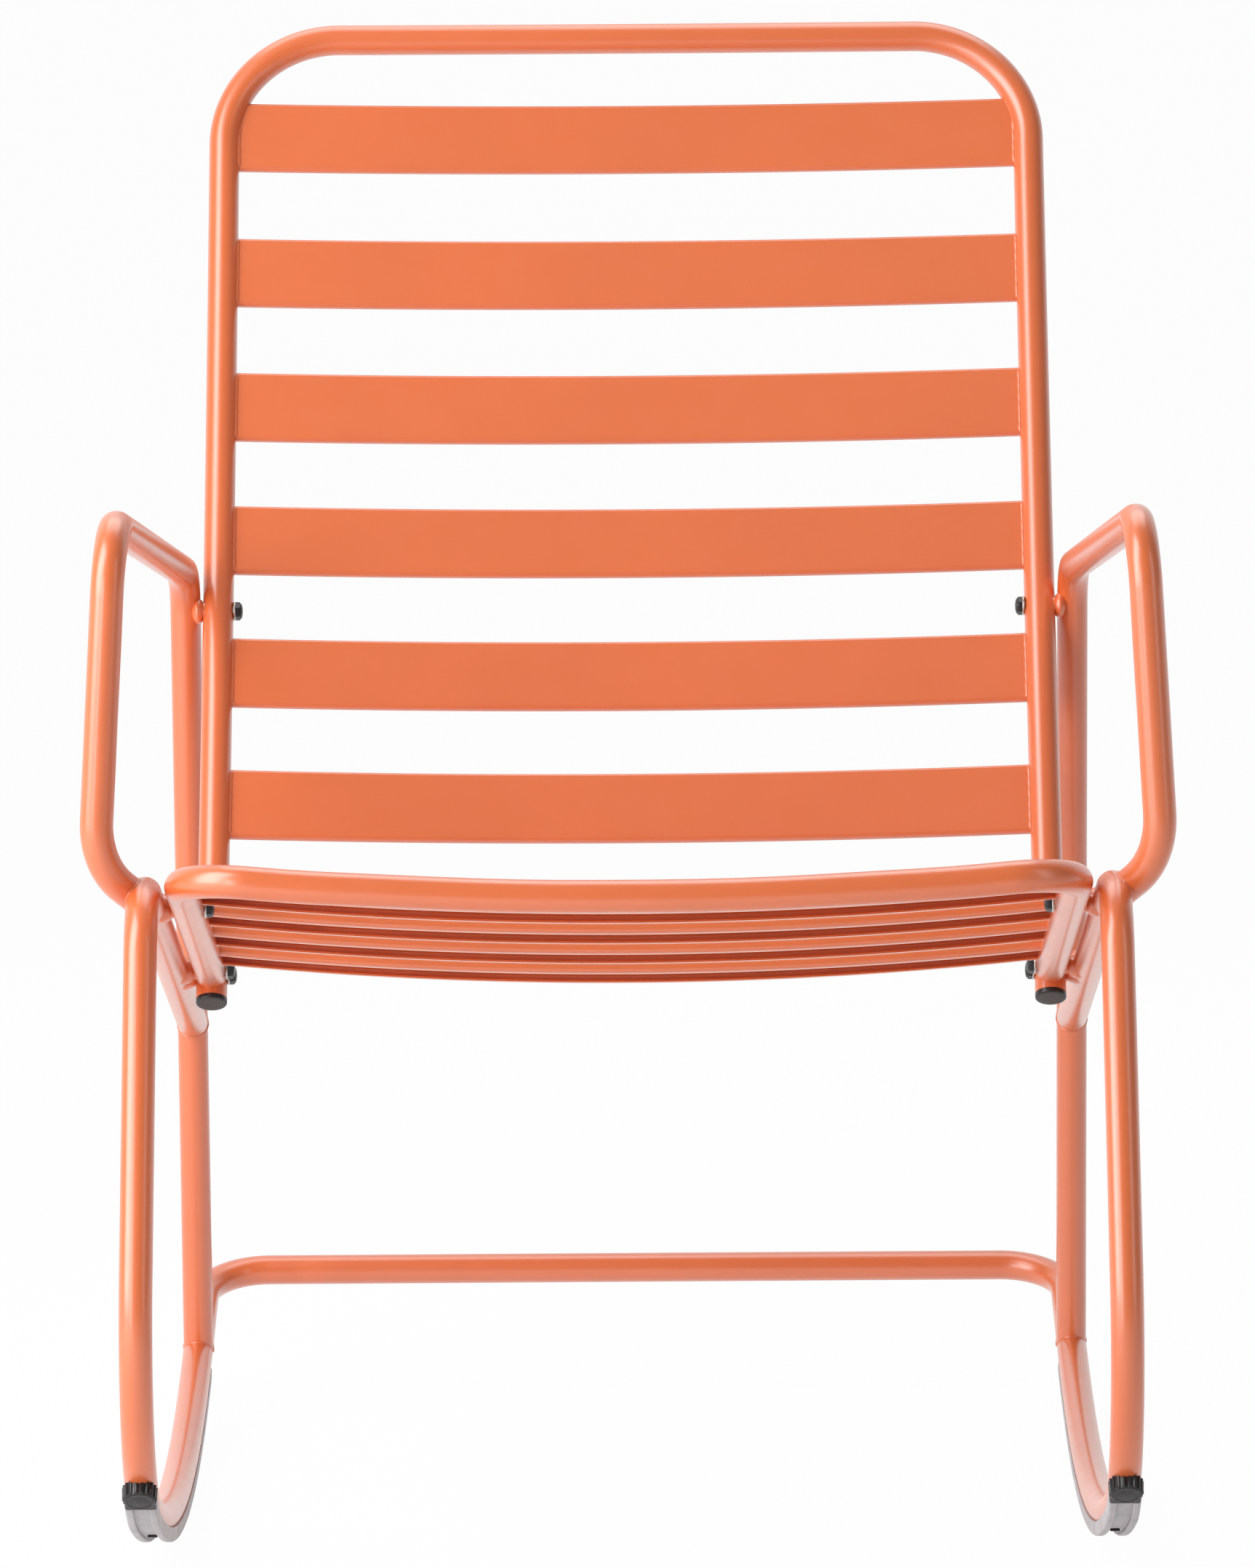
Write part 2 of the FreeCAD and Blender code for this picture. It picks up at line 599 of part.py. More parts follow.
# Glide screws: under the rocker, in the groove of the glide
GLIDE_LOW = "(Sizes.tube_diameter / 2 + Sizes.glide_thickness)"
GROOVE_LOW = TUBE_RADIUS + size("glide_thickness") - size("glide_groove_depth")
ARC_FRONT = math.degrees(rocker_front_angle())
screw_holes = []
screws = []
for place, angle in (("front", size("screw_inset") - ARC_FRONT),
                     ("rear", size("glide_rear_angle") - size("screw_inset"))):
    tilt = Rotation(Vector(1, 0, 0), angle)
    centre = Vector(-ROCKER_X, *on_rocker(math.radians(angle)))
    into_tube = GROOVE_LOW - TUBE_RADIUS + size("tube_wall") + size("screw_tail")
    head = bound("Part::Cylinder", place + "_screw_head", Radius="Sizes.screw_head_diameter / 2",
                 Height="Sizes.screw_head_height")
    head.Placement = Placement(centre + tilt * Vector(0, 0, -GROOVE_LOW - size("screw_head_height")), tilt)
    shank = bound("Part::Cylinder", place + "_screw_shank", Radius="Sizes.screw_diameter / 2")
    room = bound("Part::Cylinder", place + "_screw_room", Radius="Sizes.screw_diameter / 2 + 0.1")
    for rod in (shank, room):
        rod.Height = into_tube
        rod.Placement = Placement(centre + tilt * Vector(0, 0, -GROOVE_LOW), tilt)
    screw = doc.addObject("Part::Fuse", place + "_screw")
    screw.Base = head
    screw.Tool = shank
    screws += [screw, mirrored(screw, place + "_screw_right")]
    screw_holes += [room, mirrored(room, place + "_screw_room_right")]

# Frame tubes
back_tube = make_tube("back_frame", hoop_path)
keep(cut("back_frame", back_tube, holes["arm"] + holes["back"]), "back_frame")
seat_tube = make_tube("seat_frame", seat_u_path)
keep(cut("seat_frame", seat_tube, [back_coping] + holes["seat_front"] + holes["seat_rear"]), "seat_frame")
stop_axis = Rotation(Vector(1, 0, 0), 180 - size("stop_slope"))
stem_length = size("stop_stem") + size("tube_wall") + size("stop_height") / 2
stem_base = TUBE_RADIUS - size("tube_wall") - size("stop_stem")
stem = bound("Part::Cylinder", "stop_stem", Radius="Sizes.stop_stem / 2")
stem_room = bound("Part::Cylinder", "stop_stem_room", Radius="Sizes.stop_stem / 2 + 0.1")
for rod in (stem, stem_room):
    rod.Height = stem_length
    rod.Placement = Placement(on_toe(turn("stop_slope")) + stop_axis * Vector(0, 0, stem_base), stop_axis)
leg_tools = [rear_leg_coping, stem_room] + [holes[place][0] for place in ("back", "seat_front", "seat_rear")]
left_leg = cut("front_leg", make_tube("front_leg", leg_path), leg_tools)
left_arm = cut("arm", make_tube("arm", arm_path), [shoulder_coping, rocker_coping, holes["arm"][0]])
for left, name in ((left_leg, "front_leg"), (left_arm, "arm")):
    keep(left, "left_" + name)
    keep(mirrored(left, name + "_right"), "right_" + name)
keep(cut("rocker_base", make_tube("rocker_base", rocker_path), screw_holes), "rocker_base")


def slat(name, at, tilt, bow_expression, coping):
    """Open C channel bowed about an axis on the sitter's side, coped between two tubes."""
    edge = "Sizes.slat_width / 2"
    web = "Sizes.slat_width / 2 - Sizes.slat_sheet"
    lip = "Sizes.slat_width / 2 - Sizes.slat_lip"
    face = "Sizes.slat_thickness / 2"
    corners = [(edge, face), (edge, "-" + face), (lip, "-" + face), (lip, "Sizes.slat_sheet - " + face),
               (web, "Sizes.slat_sheet - " + face), (web, face + " - Sizes.slat_sheet")]
    corners += [("-(%s)" % x, y) for x, y in reversed(corners)]
    radius = "(Sizes.frame_width ^ 2 / (8 * (%s)) + (%s) / 2)" % (bow_expression, bow_expression)
    body = turned_body(name + "_channel", corners, "2 * asin(Sizes.frame_width / 2 / %s)" % radius, radius)
    body.Placement = Placement(at, tilt)
    return keep(cut(name, body, [coping]), name)


for index in range(BACK_SLATS):
    steps = index * size("back_slat_pitch") + index * (index - 1) / 2 * size("back_slat_growth")
    distance = size("back_slat_first") + steps
    back_tilt = Rotation(Vector(1, 0, 0), 90 - math.degrees(recline_at(distance)))
    bow = "Sizes.back_slat_bow - %d * Sizes.back_slat_ease" % index
    depth = size("back_slat_bow") - index * size("back_slat_ease")
    middle = Vector(0, *up_the_back(distance)) + back_tilt * Vector(0, 0, -depth)
    slat("back_slat_%d" % (index + 1), middle, back_tilt, bow, back_coping)

seat_tilt = Rotation(Vector(1, 0, 0), -size("seat_slope"))
seat_pitch = (size("seat_depth") - size("seat_slat_first") - size("seat_slat_last")) / (SEAT_SLATS - 1)
for index in range(SEAT_SLATS):
    distance = size("seat_slat_last") + (SEAT_SLATS - 1 - index) * seat_pitch
    middle = Vector(0, *along_seat(distance)) + seat_tilt * Vector(0, 0, size("seat_slat_lift") - size("seat_bow"))
    slat("seat_slat_%d" % (index + 1), middle, seat_tilt, "Sizes.seat_bow", seat_coping)


def glide_section(groove):
    """Outline of the glide or of its end stop, from the tube's centre line."""
    half = "Sizes.glide_width / 2"
    tread = "Sizes.glide_tread_width / 2"
    slot = "Sizes.glide_groove_width / 2"
    corners = [(half, "-Sizes.glide_wall_rise"), (half, "-" + GLIDE_LOW + " + Sizes.glide_thickness * 0.7"),
               (tread, "-" + GLIDE_LOW)]
    if groove:
        corners += [(slot, "-" + GLIDE_LOW), (slot, "-" + GLIDE_LOW + " + Sizes.glide_groove_depth")]
    return corners + [("-(%s)" % x, y) for x, y in reversed(corners)]


def under_rocker(name, edges, start_slope, groove):
    """Glide's section carried along the left rocker, from a slope of the toe bend."""
    path = doc.addObject("Part::Feature", name + "_path")
    path.Shape = Part.Wire(edges)
    section = doc.addObject("Sketcher::SketchObject", name + "_section")
    draw(section, glide_section(groove))
    upright = Rotation(Vector(1, 0, 0), 90 - math.degrees(start_slope))
    section.Placement = Placement(on_toe(start_slope), upright)
    strip = doc.addObject("Part::Sweep", name)
    strip.Sections = [section]
    strip.Spine = (path, ["Edge%d" % (i + 1) for i in range(len(edges))])
    strip.Solid = True
    strip.Frenet = False
    return strip


def toe_arc(from_slope, to_slope):
    """Stretch of the toe bend between two slopes."""
    stations = (from_slope, (from_slope + to_slope) / 2, to_slope)
    return Part.Arc(*[on_toe(slope) for slope in stations]).toShape()


def rocker_arc(from_angle, to_angle):
    """Stretch of the rocker's arc between two angles behind the contact."""
    stations = (from_angle, (from_angle + to_angle) / 2, to_angle)
    return Part.Arc(*[Vector(-ROCKER_X, *on_rocker(angle)) for angle in stations]).toShape()


arc_front = rocker_front_angle()
glide_front = turn("glide_front_slope")
run = Part.LineSegment(on_toe(arc_front), Vector(-ROCKER_X, *on_rocker(-arc_front))).toShape()
glide_edges = [toe_arc(glide_front, arc_front), run, rocker_arc(-arc_front, turn("glide_rear_angle"))]
glide = under_rocker("glide", glide_edges, glide_front, True)
floor = doc.addObject("Part::Box", "floor")
floor.Length = 4 * size("glide_width")
floor.Width = 4 * size("rest_flat")
floor.Height = TUBE_RADIUS
floor.Placement.Base = Vector(-ROCKER_X - floor.Length.Value / 2, contact_y() - floor.Width.Value / 2, -TUBE_RADIUS)
left_glide = cut("glide", glide, [rocker_coping, leg_coping, floor] + [screw_holes[0], screw_holes[2]])
cap_start = glide_front + math.radians(0.05)
cap_end = cap_start + turn("end_cap_slope")
end_cap = cut("glide_cap", under_rocker("glide_cap", [toe_arc(cap_end, cap_start)], cap_end, False), [leg_coping])
for left, name in ((left_glide, "rocker_glide"), (end_cap, "glide_cap")):
    keep(left, "left_" + name)
    keep(mirrored(left, name + "_right"), "right_" + name)
keep(group("glide_screws", screws), "glide_screws")


def plug(name, head, head_radius, bevel):
    """Plug with its stem in a tube and its head outside, turned about local Y."""
    stem_radius = "Sizes.tube_diameter / 2 - Sizes.tube_wall - Sizes.plug_clearance"
    corners = [("-Sizes.plug_stem", "0"), (head, "0"), (head, "%s - %s" % (head_radius, bevel)),
               ("%s - %s" % (head, bevel), head_radius), ("0", head_radius), ("0", stem_radius),
               ("-Sizes.plug_stem", stem_radius)]
    return turned_body(name, corners)


def into_end(made, path, last):
    """Put a plug's head on one end of a path."""
    edge = path.Shape.Edges[-1 if last else 0]
    tip = edge.valueAt(edge.LastParameter if last else edge.FirstParameter)
    heading = edge.tangentAt(edge.FirstParameter) * (1 if last else -1)
    made.Placement = Placement(tip, Rotation(Vector(0, 1, 0), heading))


stop_radius = "Sizes.stop_diameter / 2 - Sizes.stop_rib_depth"
stop_base = "Sizes.tube_diameter / 2 - Sizes.stop_sink"
stop_top = "Sizes.tube_diameter / 2 + Sizes.stop_height"
stop_corners = [(stop_base, "0"), (stop_top, "0"), (stop_top, stop_radius + " - Sizes.stop_edge"),
                (stop_top + " - Sizes.stop_edge", stop_radius), (stop_base, stop_radius)]
stop_head = turned_body("stop_head", stop_corners)
rib_half = "Sizes.stop_rib_width / 2"
rib_low = "Sizes.stop_diameter / 2 - 2 * Sizes.stop_rib_depth"
rib_top = "Sizes.stop_diameter / 2"
rib_corners = [(rib_half, rib_low), (rib_half, rib_top), ("-" + rib_half, rib_top), ("-" + rib_half, rib_low)]
rib_outline = outline(stop_head, "rib_outline", "XZ_Plane", rib_corners)
rib = stop_head.newObject("PartDesign::Pad", "rib")
rib.Profile = rib_outline
rib.setExpression("Length", stop_top + " - Sizes.stop_edge")
rib.Reversed = True
ribs = stop_head.newObject("PartDesign::PolarPattern", "ribs")
ribs.Originals = [rib]
ribs.Axis = (doc.getObject("stop_head_outline"), ["H_Axis"])
ribs.Angle = 360
ribs.Occurrences = STOP_RIBS
stop_head.Tip = ribs
stop_outwards = stop_axis * Rotation(Vector(0, 1, 0), Vector(0, 0, 1))
stop_head.Placement = Placement(on_toe(turn("stop_slope")), stop_outwards)
front_stop = doc.addObject("Part::Fuse", "front_stop_whole")
front_stop.Base = cut("front_stop", stop_head, [leg_coping, end_cap])
front_stop.Tool = stem
upright_plug = plug("upright_plug", "Sizes.plug_head", "Sizes.tube_diameter / 2", "Sizes.plug_edge")
into_end(upright_plug, hoop_path, False)
for left, name in ((front_stop, "front_stop"), (upright_plug, "upright_plug")):
    keep(left, "left_" + name)
    keep(mirrored(left, name + "_right"), "right_" + name)

for place, pair in bosses.items():
    keep(group(place + "_bosses", pair), place + "_bosses")
for place, pair in studs.items():
    keep(group(place + "_studs", pair), place + "_studs")
keep(group("washers", washers), "washers")
keep(group("cap_nuts", nuts), "cap_nuts")

doc.recompute()
for made in doc.Objects:
    if "Invalid" in made.State or "Error" in made.State:
        raise RuntimeError("%s is %s" % (made.Label, made.State))
os.makedirs("parts", exist_ok=True)
for made in parts:
    if made.Shape.isNull() or not made.Shape.isValid() or not made.Shape.Solids:
        raise RuntimeError("%s has no valid solid" % made.Label)
    made.Shape.exportStep("parts/%s.step" % made.Label)
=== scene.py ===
"""Garden rocking chair: smooth tubes, rolled slats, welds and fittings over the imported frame.

Lengths are in metres and angles in radians. The sitter faces -Y, +X is the viewer's right and Z is up.
The side view is drawn from the seat joint, where a seat rail meets a back upright: "along" means
rearwards and "up" means above the floor, and a pair (along, up) is a point of that view.
What the chair has on both sides is worked out on the left and mirrored to the right.
"""
import json
import math
import bpy
import numpy as np
from mathutils import Matrix, Vector


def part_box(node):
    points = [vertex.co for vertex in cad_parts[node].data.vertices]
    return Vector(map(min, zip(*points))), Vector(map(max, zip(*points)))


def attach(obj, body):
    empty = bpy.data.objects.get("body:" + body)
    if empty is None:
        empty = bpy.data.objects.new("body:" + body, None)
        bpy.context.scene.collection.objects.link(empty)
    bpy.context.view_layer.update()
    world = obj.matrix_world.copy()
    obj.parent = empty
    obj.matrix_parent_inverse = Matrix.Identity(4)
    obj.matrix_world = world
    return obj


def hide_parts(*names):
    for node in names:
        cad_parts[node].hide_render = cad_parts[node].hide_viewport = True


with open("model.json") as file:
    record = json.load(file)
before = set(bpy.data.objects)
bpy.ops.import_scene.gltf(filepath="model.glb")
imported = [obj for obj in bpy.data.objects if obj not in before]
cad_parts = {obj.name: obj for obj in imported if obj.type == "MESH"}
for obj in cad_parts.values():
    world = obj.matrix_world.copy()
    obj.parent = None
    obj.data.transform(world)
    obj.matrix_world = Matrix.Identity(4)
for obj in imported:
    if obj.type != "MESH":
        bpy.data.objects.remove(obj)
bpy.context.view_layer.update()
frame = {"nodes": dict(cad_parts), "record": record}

# Frame tubes and the seat joint
TUBE_RADIUS = 0.010
RAIL_X = 0.268
RAIL_INSIDE = RAIL_X - TUBE_RADIUS
BOSS_GAP = 0.003
SIDE_X = RAIL_X + 2 * TUBE_RADIUS + BOSS_GAP
SIDE_SPLAY = math.radians(0.5)
JOINT_UP = 0.343

# Back and seat
BACK_RECLINE = math.radians(35.0)
BACK_CURVE_RADIUS = 4.319
BACK_RISE = 0.6754
BACK_DROP = 0.017
BACK_CORNER_RADIUS = 0.076
BACK_BOW = 0.0015
SEAT_SLOPE = math.radians(17.0)
SEAT_DEPTH = 0.407
SEAT_CORNER_RADIUS = 0.042
SEAT_BOW = 0.0143
# Clear run between a corner and its bow. The bow's outer bends reach a length along their runs,
# and its inner bends a share of the run's half width
BOW_CLEAR = 0.030
BOW_OUTER_REACH, BOW_INNER_REACH = 0.7 * BOW_CLEAR, 0.25
CURVE_END = BACK_RISE - BACK_CORNER_RADIUS - BOW_CLEAR / 2

# Slats
BACK_SLATS, SEAT_SLATS = 6, 4
SLAT_WIDTH = 0.0488
SLAT_DEPTH = 0.007
SLAT_SHEET = 0.0012
SLAT_LIP = 0.007
SLAT_FOLD = 0.0024
SLAT_END_INSET = 0.3 * TUBE_RADIUS
BACK_SLAT_FIRST, BACK_SLAT_PITCH, BACK_SLAT_GROWTH = 0.1225, 0.0946, 0.0009
BACK_SLAT_BOW, BACK_SLAT_EASE = 0.0107, 0.00046
SEAT_SLAT_FIRST, SEAT_SLAT_LAST, SEAT_SLAT_LIFT = 0.084, 0.071, 0.0039
SEAT_SLAT_PITCH = (SEAT_DEPTH - SEAT_SLAT_FIRST - SEAT_SLAT_LAST) / (SEAT_SLATS - 1)

# Arms and rear legs
ARM_BOLT_RISE = 0.2612
ARM_BOLT_OFFSET = 0.006
ARM_BEND_RISE, ARM_BEND_RADIUS = 0.0254, 0.040
ARM_SLOPE = math.radians(9.4)
REAR_LEG_LEAN = math.radians(12.7)
ARM_TIP_SETBACK, ARM_TIP_SPREAD, ARM_TIP_RADIUS = 0.020, 0.0172, 0.036
ARM_POST_SETBACK, ARM_POST_SPREAD = 0.025, 0.028
ARM_POST_RISE, ARM_POST_RADIUS = 0.004, 0.050
ARM_ROOT_SETBACK, ARM_ROOT_DROP = 0.055, 0.0075
ARM_ROOT_CUT = 0.5 * TUBE_RADIUS

# Front legs, rockers and glides
LEG_TOP_SETBACK, LEG_TOP_RADIUS = 0.020, 0.045
LEG_LEAN = math.radians(16.7)
TOE_SETBACK, TOE_RUN = 0.041, 0.008
ROCKER_RADIUS = 1.100
ROCKER_CONTACT = 0.0019
ROCKER_REAR_ANGLE = math.radians(13.9)
ROCKER_REAR_RADIUS = 0.044
CROSSBAR_SETBACK = 0.389
GLIDE_THICKNESS = 0.005
GLIDE_WIDTH, GLIDE_TREAD = 0.0194, 0.019
GLIDE_WALL_RISE, GLIDE_KNEE_RISE = 0.006, 0.7 * GLIDE_THICKNESS
GROOVE_WIDTH, GROOVE_DEPTH = 0.0096, 0.0034
GLIDE_EDGE_RADII, GROOVE_EDGE_RADII = [0.002, 0.0016], [0.0012, 0.0009]
GLIDE_FRONT_SLOPE = math.radians(37.0)
GLIDE_REAR_ANGLE = math.radians(13.0)
END_CAP_SLOPE = math.radians(4.0)
REST_FLAT = 0.056

# Fittings
REAR_BOLT_LEAD, FRONT_BOLT_SETBACK = 0.024, 0.122
BOSS_RADIUS, BOSS_SINK = 0.006, 0.006
BOSS_FLARE, BOSS_FLARE_LEAD = 0.003, 0.002
WASHER_RADIUS, WASHER_THICKNESS = 0.00625, 0.0015
NUT_FLATS, NUT_HEX_HEIGHT, NUT_DOME_HEIGHT = 0.0105, 0.0032, 0.0014
NUT_DOME_STEP, NUT_CHAMFER, NUT_CHAMFER_RADIUS = 0.0002, 0.0006, 0.57 * NUT_FLATS
STOP_SLOPE = math.radians(42.5)
STOP_RADIUS, STOP_HEIGHT, STOP_SINK = 0.0107, 0.0072, 0.0025
STOP_EDGE, STOP_CROWN = 0.0014, 0.0006
STOP_RIBS, STOP_RIB_DEPTH, STOP_RIB_CREST = 18, 0.0012, 3.0
STOP_FADE_END, STOP_FADE_LENGTH = 0.4 * STOP_EDGE, 0.8 * STOP_EDGE
PLUG_HEAD, PLUG_EDGE, PLUG_UNDERCUT = 0.0035, 0.0012, 0.0002
PLUG_STEM, PLUG_STEM_RADIUS = 0.004, 0.8 * TUBE_RADIUS

# Welds: radius, and shares and counts of the ripples and swellings along a bead
WELD_RADIUS = 0.0007
WELD_RIPPLE, WELD_RIPPLES = 0.04, 31
WELD_SWELL, WELD_SWELLS, WELD_SWELL_START = 0.10, 3, 0.7
END_WELD_RADIUS = 0.0018
END_WELD_SINK = 0.5 * END_WELD_RADIUS
END_WELD_RIPPLE, END_WELD_RIPPLES, END_WELD_RIPPLE_SHIFT = 0.06, 19, 90
END_WELD_SWELL = 0.18

# Rows and points of the meshes
TUBE_SIDES, ROUND_SIDES, WELD_SIDES, END_WELD_SIDES = 40, 72, 12, 16
BEND_STEP = math.radians(2.5)
SLAT_ROWS, END_WELD_ROWS, BOSS_ROWS = 49, 61, 37
ROCKER_ROWS, TOE_ROWS, END_CAP_ROWS, GLIDE_BED_POINTS = 120, 30, 8, 25
STOP_EDGE_ROWS, STOP_FACE_ROWS, STOP_RIB_POINTS = 6, 8, 12
PLUG_EDGE_ROWS, WASHER_ROWS, NUT_DOME_ROWS, NUT_POINTS = 8, 9, 10, 96
SEAM_POINTS, SEAM_TRIALS = 96, 160
SEAM_STEP, SEAM_TRAVEL, SEAM_REACH = 0.001, 5 * TUBE_RADIUS, 6 * TUBE_RADIUS
# How far a rounded end closes before its small flat cap, and where the rows of a round face lie on it
END_CLOSING = 0.97
FACE_START, FACE_END = 0.85, 0.05
SHARP_EDGE = math.radians(38.0)

X_AXIS, Y_AXIS, Z_AXIS = np.eye(3)
MIRROR = np.array([-1.0, 1.0, 1.0])

# The rear seat studs give the seat joint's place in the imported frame
stud_low, stud_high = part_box("seat_rear_studs")
JOINT_ALONG = (stud_low.y + stud_high.y) / 2 + REAR_BOLT_LEAD * math.cos(SEAT_SLOPE)


# Side view

def recline_at(distance):
    """Recline of the upright at a distance up it from the seat joint, falling evenly along the curve."""
    return BACK_RECLINE - min(max(distance, 0.0), CURVE_END) / BACK_CURVE_RADIUS


def up_the_back(distance):
    """Point of the upright: an arc from the seat joint, straight beyond its ends.

    On the arc, along grows by radius * (cos(recline) - cos(first recline)) and up by
    radius * (sin(first recline) - sin(recline)).
    """
    here = recline_at(distance)
    straight = distance - min(max(distance, 0.0), CURVE_END)
    along = BACK_CURVE_RADIUS * (math.cos(here) - math.cos(BACK_RECLINE)) + straight * math.sin(here)
    up = BACK_CURVE_RADIUS * (math.sin(BACK_RECLINE) - math.sin(here)) + straight * math.cos(here)
    return JOINT_ALONG + along, JOINT_UP + up


def back_normal(distance):
    """Direction square to the back at a distance up it, towards the sitter."""
    lean = recline_at(distance)
    return np.array([0.0, -math.cos(lean), math.sin(lean)])


def along_seat(distance):
    """Point of the seat rail, a distance forwards from the seat joint, rising at the seat's slope."""
    return JOINT_ALONG - distance * math.cos(SEAT_SLOPE), JOINT_UP + distance * math.sin(SEAT_SLOPE)


FRONT_ALONG, FRONT_UP = along_seat(SEAT_DEPTH)
BACK_NORMAL = back_normal(BACK_RISE)
SEAT_NORMAL = np.array([0.0, math.sin(SEAT_SLOPE), math.cos(SEAT_SLOPE)])


def forwards_of_down(angle):
    """Direction in the side view, turned forwards from straight down by an angle."""
    return np.array([0.0, -math.sin(angle), -math.cos(angle)])


def side_x(height):
    """Distance of the side frame from the middle plane, growing evenly towards the floor."""
    return SIDE_X + ((JOINT_UP + FRONT_UP) / 2 - height) * math.tan(SIDE_SPLAY)


def on_side(point, outside=0.0):
    """A point of the side view on the left side frame, or a distance outside it."""
    return np.array([-side_x(point[1]) - outside, *point])


GLIDE_ARC = ROCKER_RADIUS + TUBE_RADIUS + GLIDE_THICKNESS
REST_SAGITTA = GLIDE_ARC - math.sqrt(GLIDE_ARC ** 2 - (REST_FLAT / 2) ** 2)
ROCKER_LOW = TUBE_RADIUS + GLIDE_THICKNESS - REST_SAGITTA
ROCKER_X = side_x(ROCKER_LOW)
CONTACT_ALONG = JOINT_ALONG + ROCKER_CONTACT


def on_rocker(angle):
    """Points of the rocker's centre line, at angles of its arc behind the floor contact.

    They lie radius * sin(angle) behind its lowest point and radius * (1 - cos(angle)) above it.
    """
    along = CONTACT_ALONG + ROCKER_RADIUS * np.sin(angle)
    return along, ROCKER_LOW + ROCKER_RADIUS * (1 - np.cos(angle))


def over_rocker(along, up):
    """Points of the side view in the upright plane of the left rocker."""
    return np.stack(np.broadcast_arrays(-ROCKER_X, along, up), axis=-1)


ARC_FRONT = math.asin((CONTACT_ALONG - FRONT_ALONG - TOE_SETBACK) / ROCKER_RADIUS)
LEG_TOP = along_seat(SEAT_DEPTH - LEG_TOP_SETBACK)


def toe_corner():
    """Where the front leg's line meets the tangent at the front end of the rocker's arc."""
    end_along, end_up = on_rocker(-ARC_FRONT)
    lean, slope = math.tan(LEG_LEAN), math.tan(ARC_FRONT)
    up = (end_up + slope * (end_along - LEG_TOP[0] + lean * LEG_TOP[1])) / (1 + slope * lean)
    return LEG_TOP[0] - lean * (LEG_TOP[1] - up), up


TOE_RADIUS = ((math.dist(toe_corner(), on_rocker(-ARC_FRONT)) - TOE_RUN)
              / math.tan((math.pi / 2 - ARC_FRONT + LEG_LEAN) / 2))


def on_toe(slope):
    """Points of the toe bend where the tube rises forwards at the given slopes.

    From the end of the straight run, the arc goes forwards by radius * (sin(slope) - sin(first slope))
    and up by radius * (cos(first slope) - cos(slope)).
    """
    along, up = on_rocker(-ARC_FRONT)
    along = along - TOE_RUN * math.cos(ARC_FRONT) + TOE_RADIUS * (math.sin(ARC_FRONT) - np.sin(slope))
    up = up + TOE_RUN * math.sin(ARC_FRONT) + TOE_RADIUS * (math.cos(ARC_FRONT) - np.cos(slope))
    return over_rocker(along, up)


ARM_BOLT = up_the_back(ARM_BOLT_RISE)
LEG_FALL = math.tan(REAR_LEG_LEAN)
REAR_LEG_TOP = (ARM_BOLT[0] + ARM_BOLT_OFFSET, ARM_BOLT[1])


def bar_end():
    """Where the side bar, in line with the seat rail, meets the rear leg."""
    fall = math.tan(SEAT_SLOPE)
    level = REAR_LEG_TOP[1] - JOINT_UP - fall * JOINT_ALONG
    along = (REAR_LEG_TOP[0] + LEG_FALL * level) / (1 - LEG_FALL * fall)
    return along, JOINT_UP - fall * (along - JOINT_ALONG)


def rear_leg_foot():
    """Where the rear leg meets the rocker's centre line, found by repeated steps."""
    up = ROCKER_LOW
    for _ in range(30):
        along = REAR_LEG_TOP[0] + LEG_FALL * (REAR_LEG_TOP[1] - up)
        up = ROCKER_LOW + ROCKER_RADIUS - math.sqrt(ROCKER_RADIUS ** 2 - (along - CONTACT_ALONG) ** 2)
    return along, up


# Paths and surfaces

def unit(vectors):
    """Vectors divided by their lengths."""
    return vectors / np.linalg.norm(vectors, axis=-1, keepdims=True)


def bent_path(corners, radii):
    """Centre line of a bent tube: straight runs, each inner corner rounded by an arc.

    The arc starts radius * tan(half the turn) before its corner. Its points are
    start + radius * (sin(a) * into + (1 - cos(a)) * inward), with a from 0 to the turn.
    """
    corners = np.asarray(corners, dtype=float)
    runs = [corners[:1]]
    for before, here, after, radius in zip(corners, corners[1:], corners[2:], radii):
        into, onward = unit(here - before), unit(after - here)
        turn = math.acos(min(1.0, float(into @ onward)))
        inward = unit(onward - into * (into @ onward))
        start = here - into * radius * math.tan(turn / 2)
        angle = np.linspace(0.0, turn, int(turn / BEND_STEP) + 4)[:, None]
        runs.append(start + radius * (np.sin(angle) * into + (1 - np.cos(angle)) * inward))
    runs.append(corners[-1:])
    return np.concatenate(runs)


def bowed_u(side, side_radii, corner, bow, corner_radius):
    """U of one tube: up the points of a side to its corner, and bowed between the two corners.

    The bow's four bends lie on a parabola, bow * (1 - share ** 2), at an outer share of the half width
    and at a third of it. Each bend's radius is its reach along the run over tan(half its turn).
    """
    outer = 1 - (corner_radius + BOW_CLEAR) / RAIL_X
    left = [np.array([-RAIL_X, *point]) for point in side + [corner]]
    left += [np.array([-RAIL_X * share, *corner]) + bow * (1 - share ** 2)
             for share in (outer, outer / 3)]
    right = [point * MIRROR for point in reversed(left)]
    radii = list(side_radii) + [corner_radius]
    for before, here, after, reach in ((left[-3], left[-2], left[-1], BOW_OUTER_REACH),
                                       (left[-2], left[-1], right[0], BOW_INNER_REACH * RAIL_X * outer)):
        half_turn = math.acos(float(unit(here - before) @ unit(after - here))) / 2
        radii.append(reach / math.tan(half_turn))
    return bent_path(left + right, radii + radii[::-1])


def even_points(path):
    """Points at even steps along a path, on straight lines between its own points."""
    gaps = np.linalg.norm(np.diff(path, axis=0), axis=-1)
    length = np.concatenate([[0.0], np.cumsum(gaps)])
    even = np.linspace(0.0, length[-1], int(length[-1] / SEAM_STEP))
    return np.stack([np.interp(even, length, path[:, i]) for i in range(3)], axis=-1)


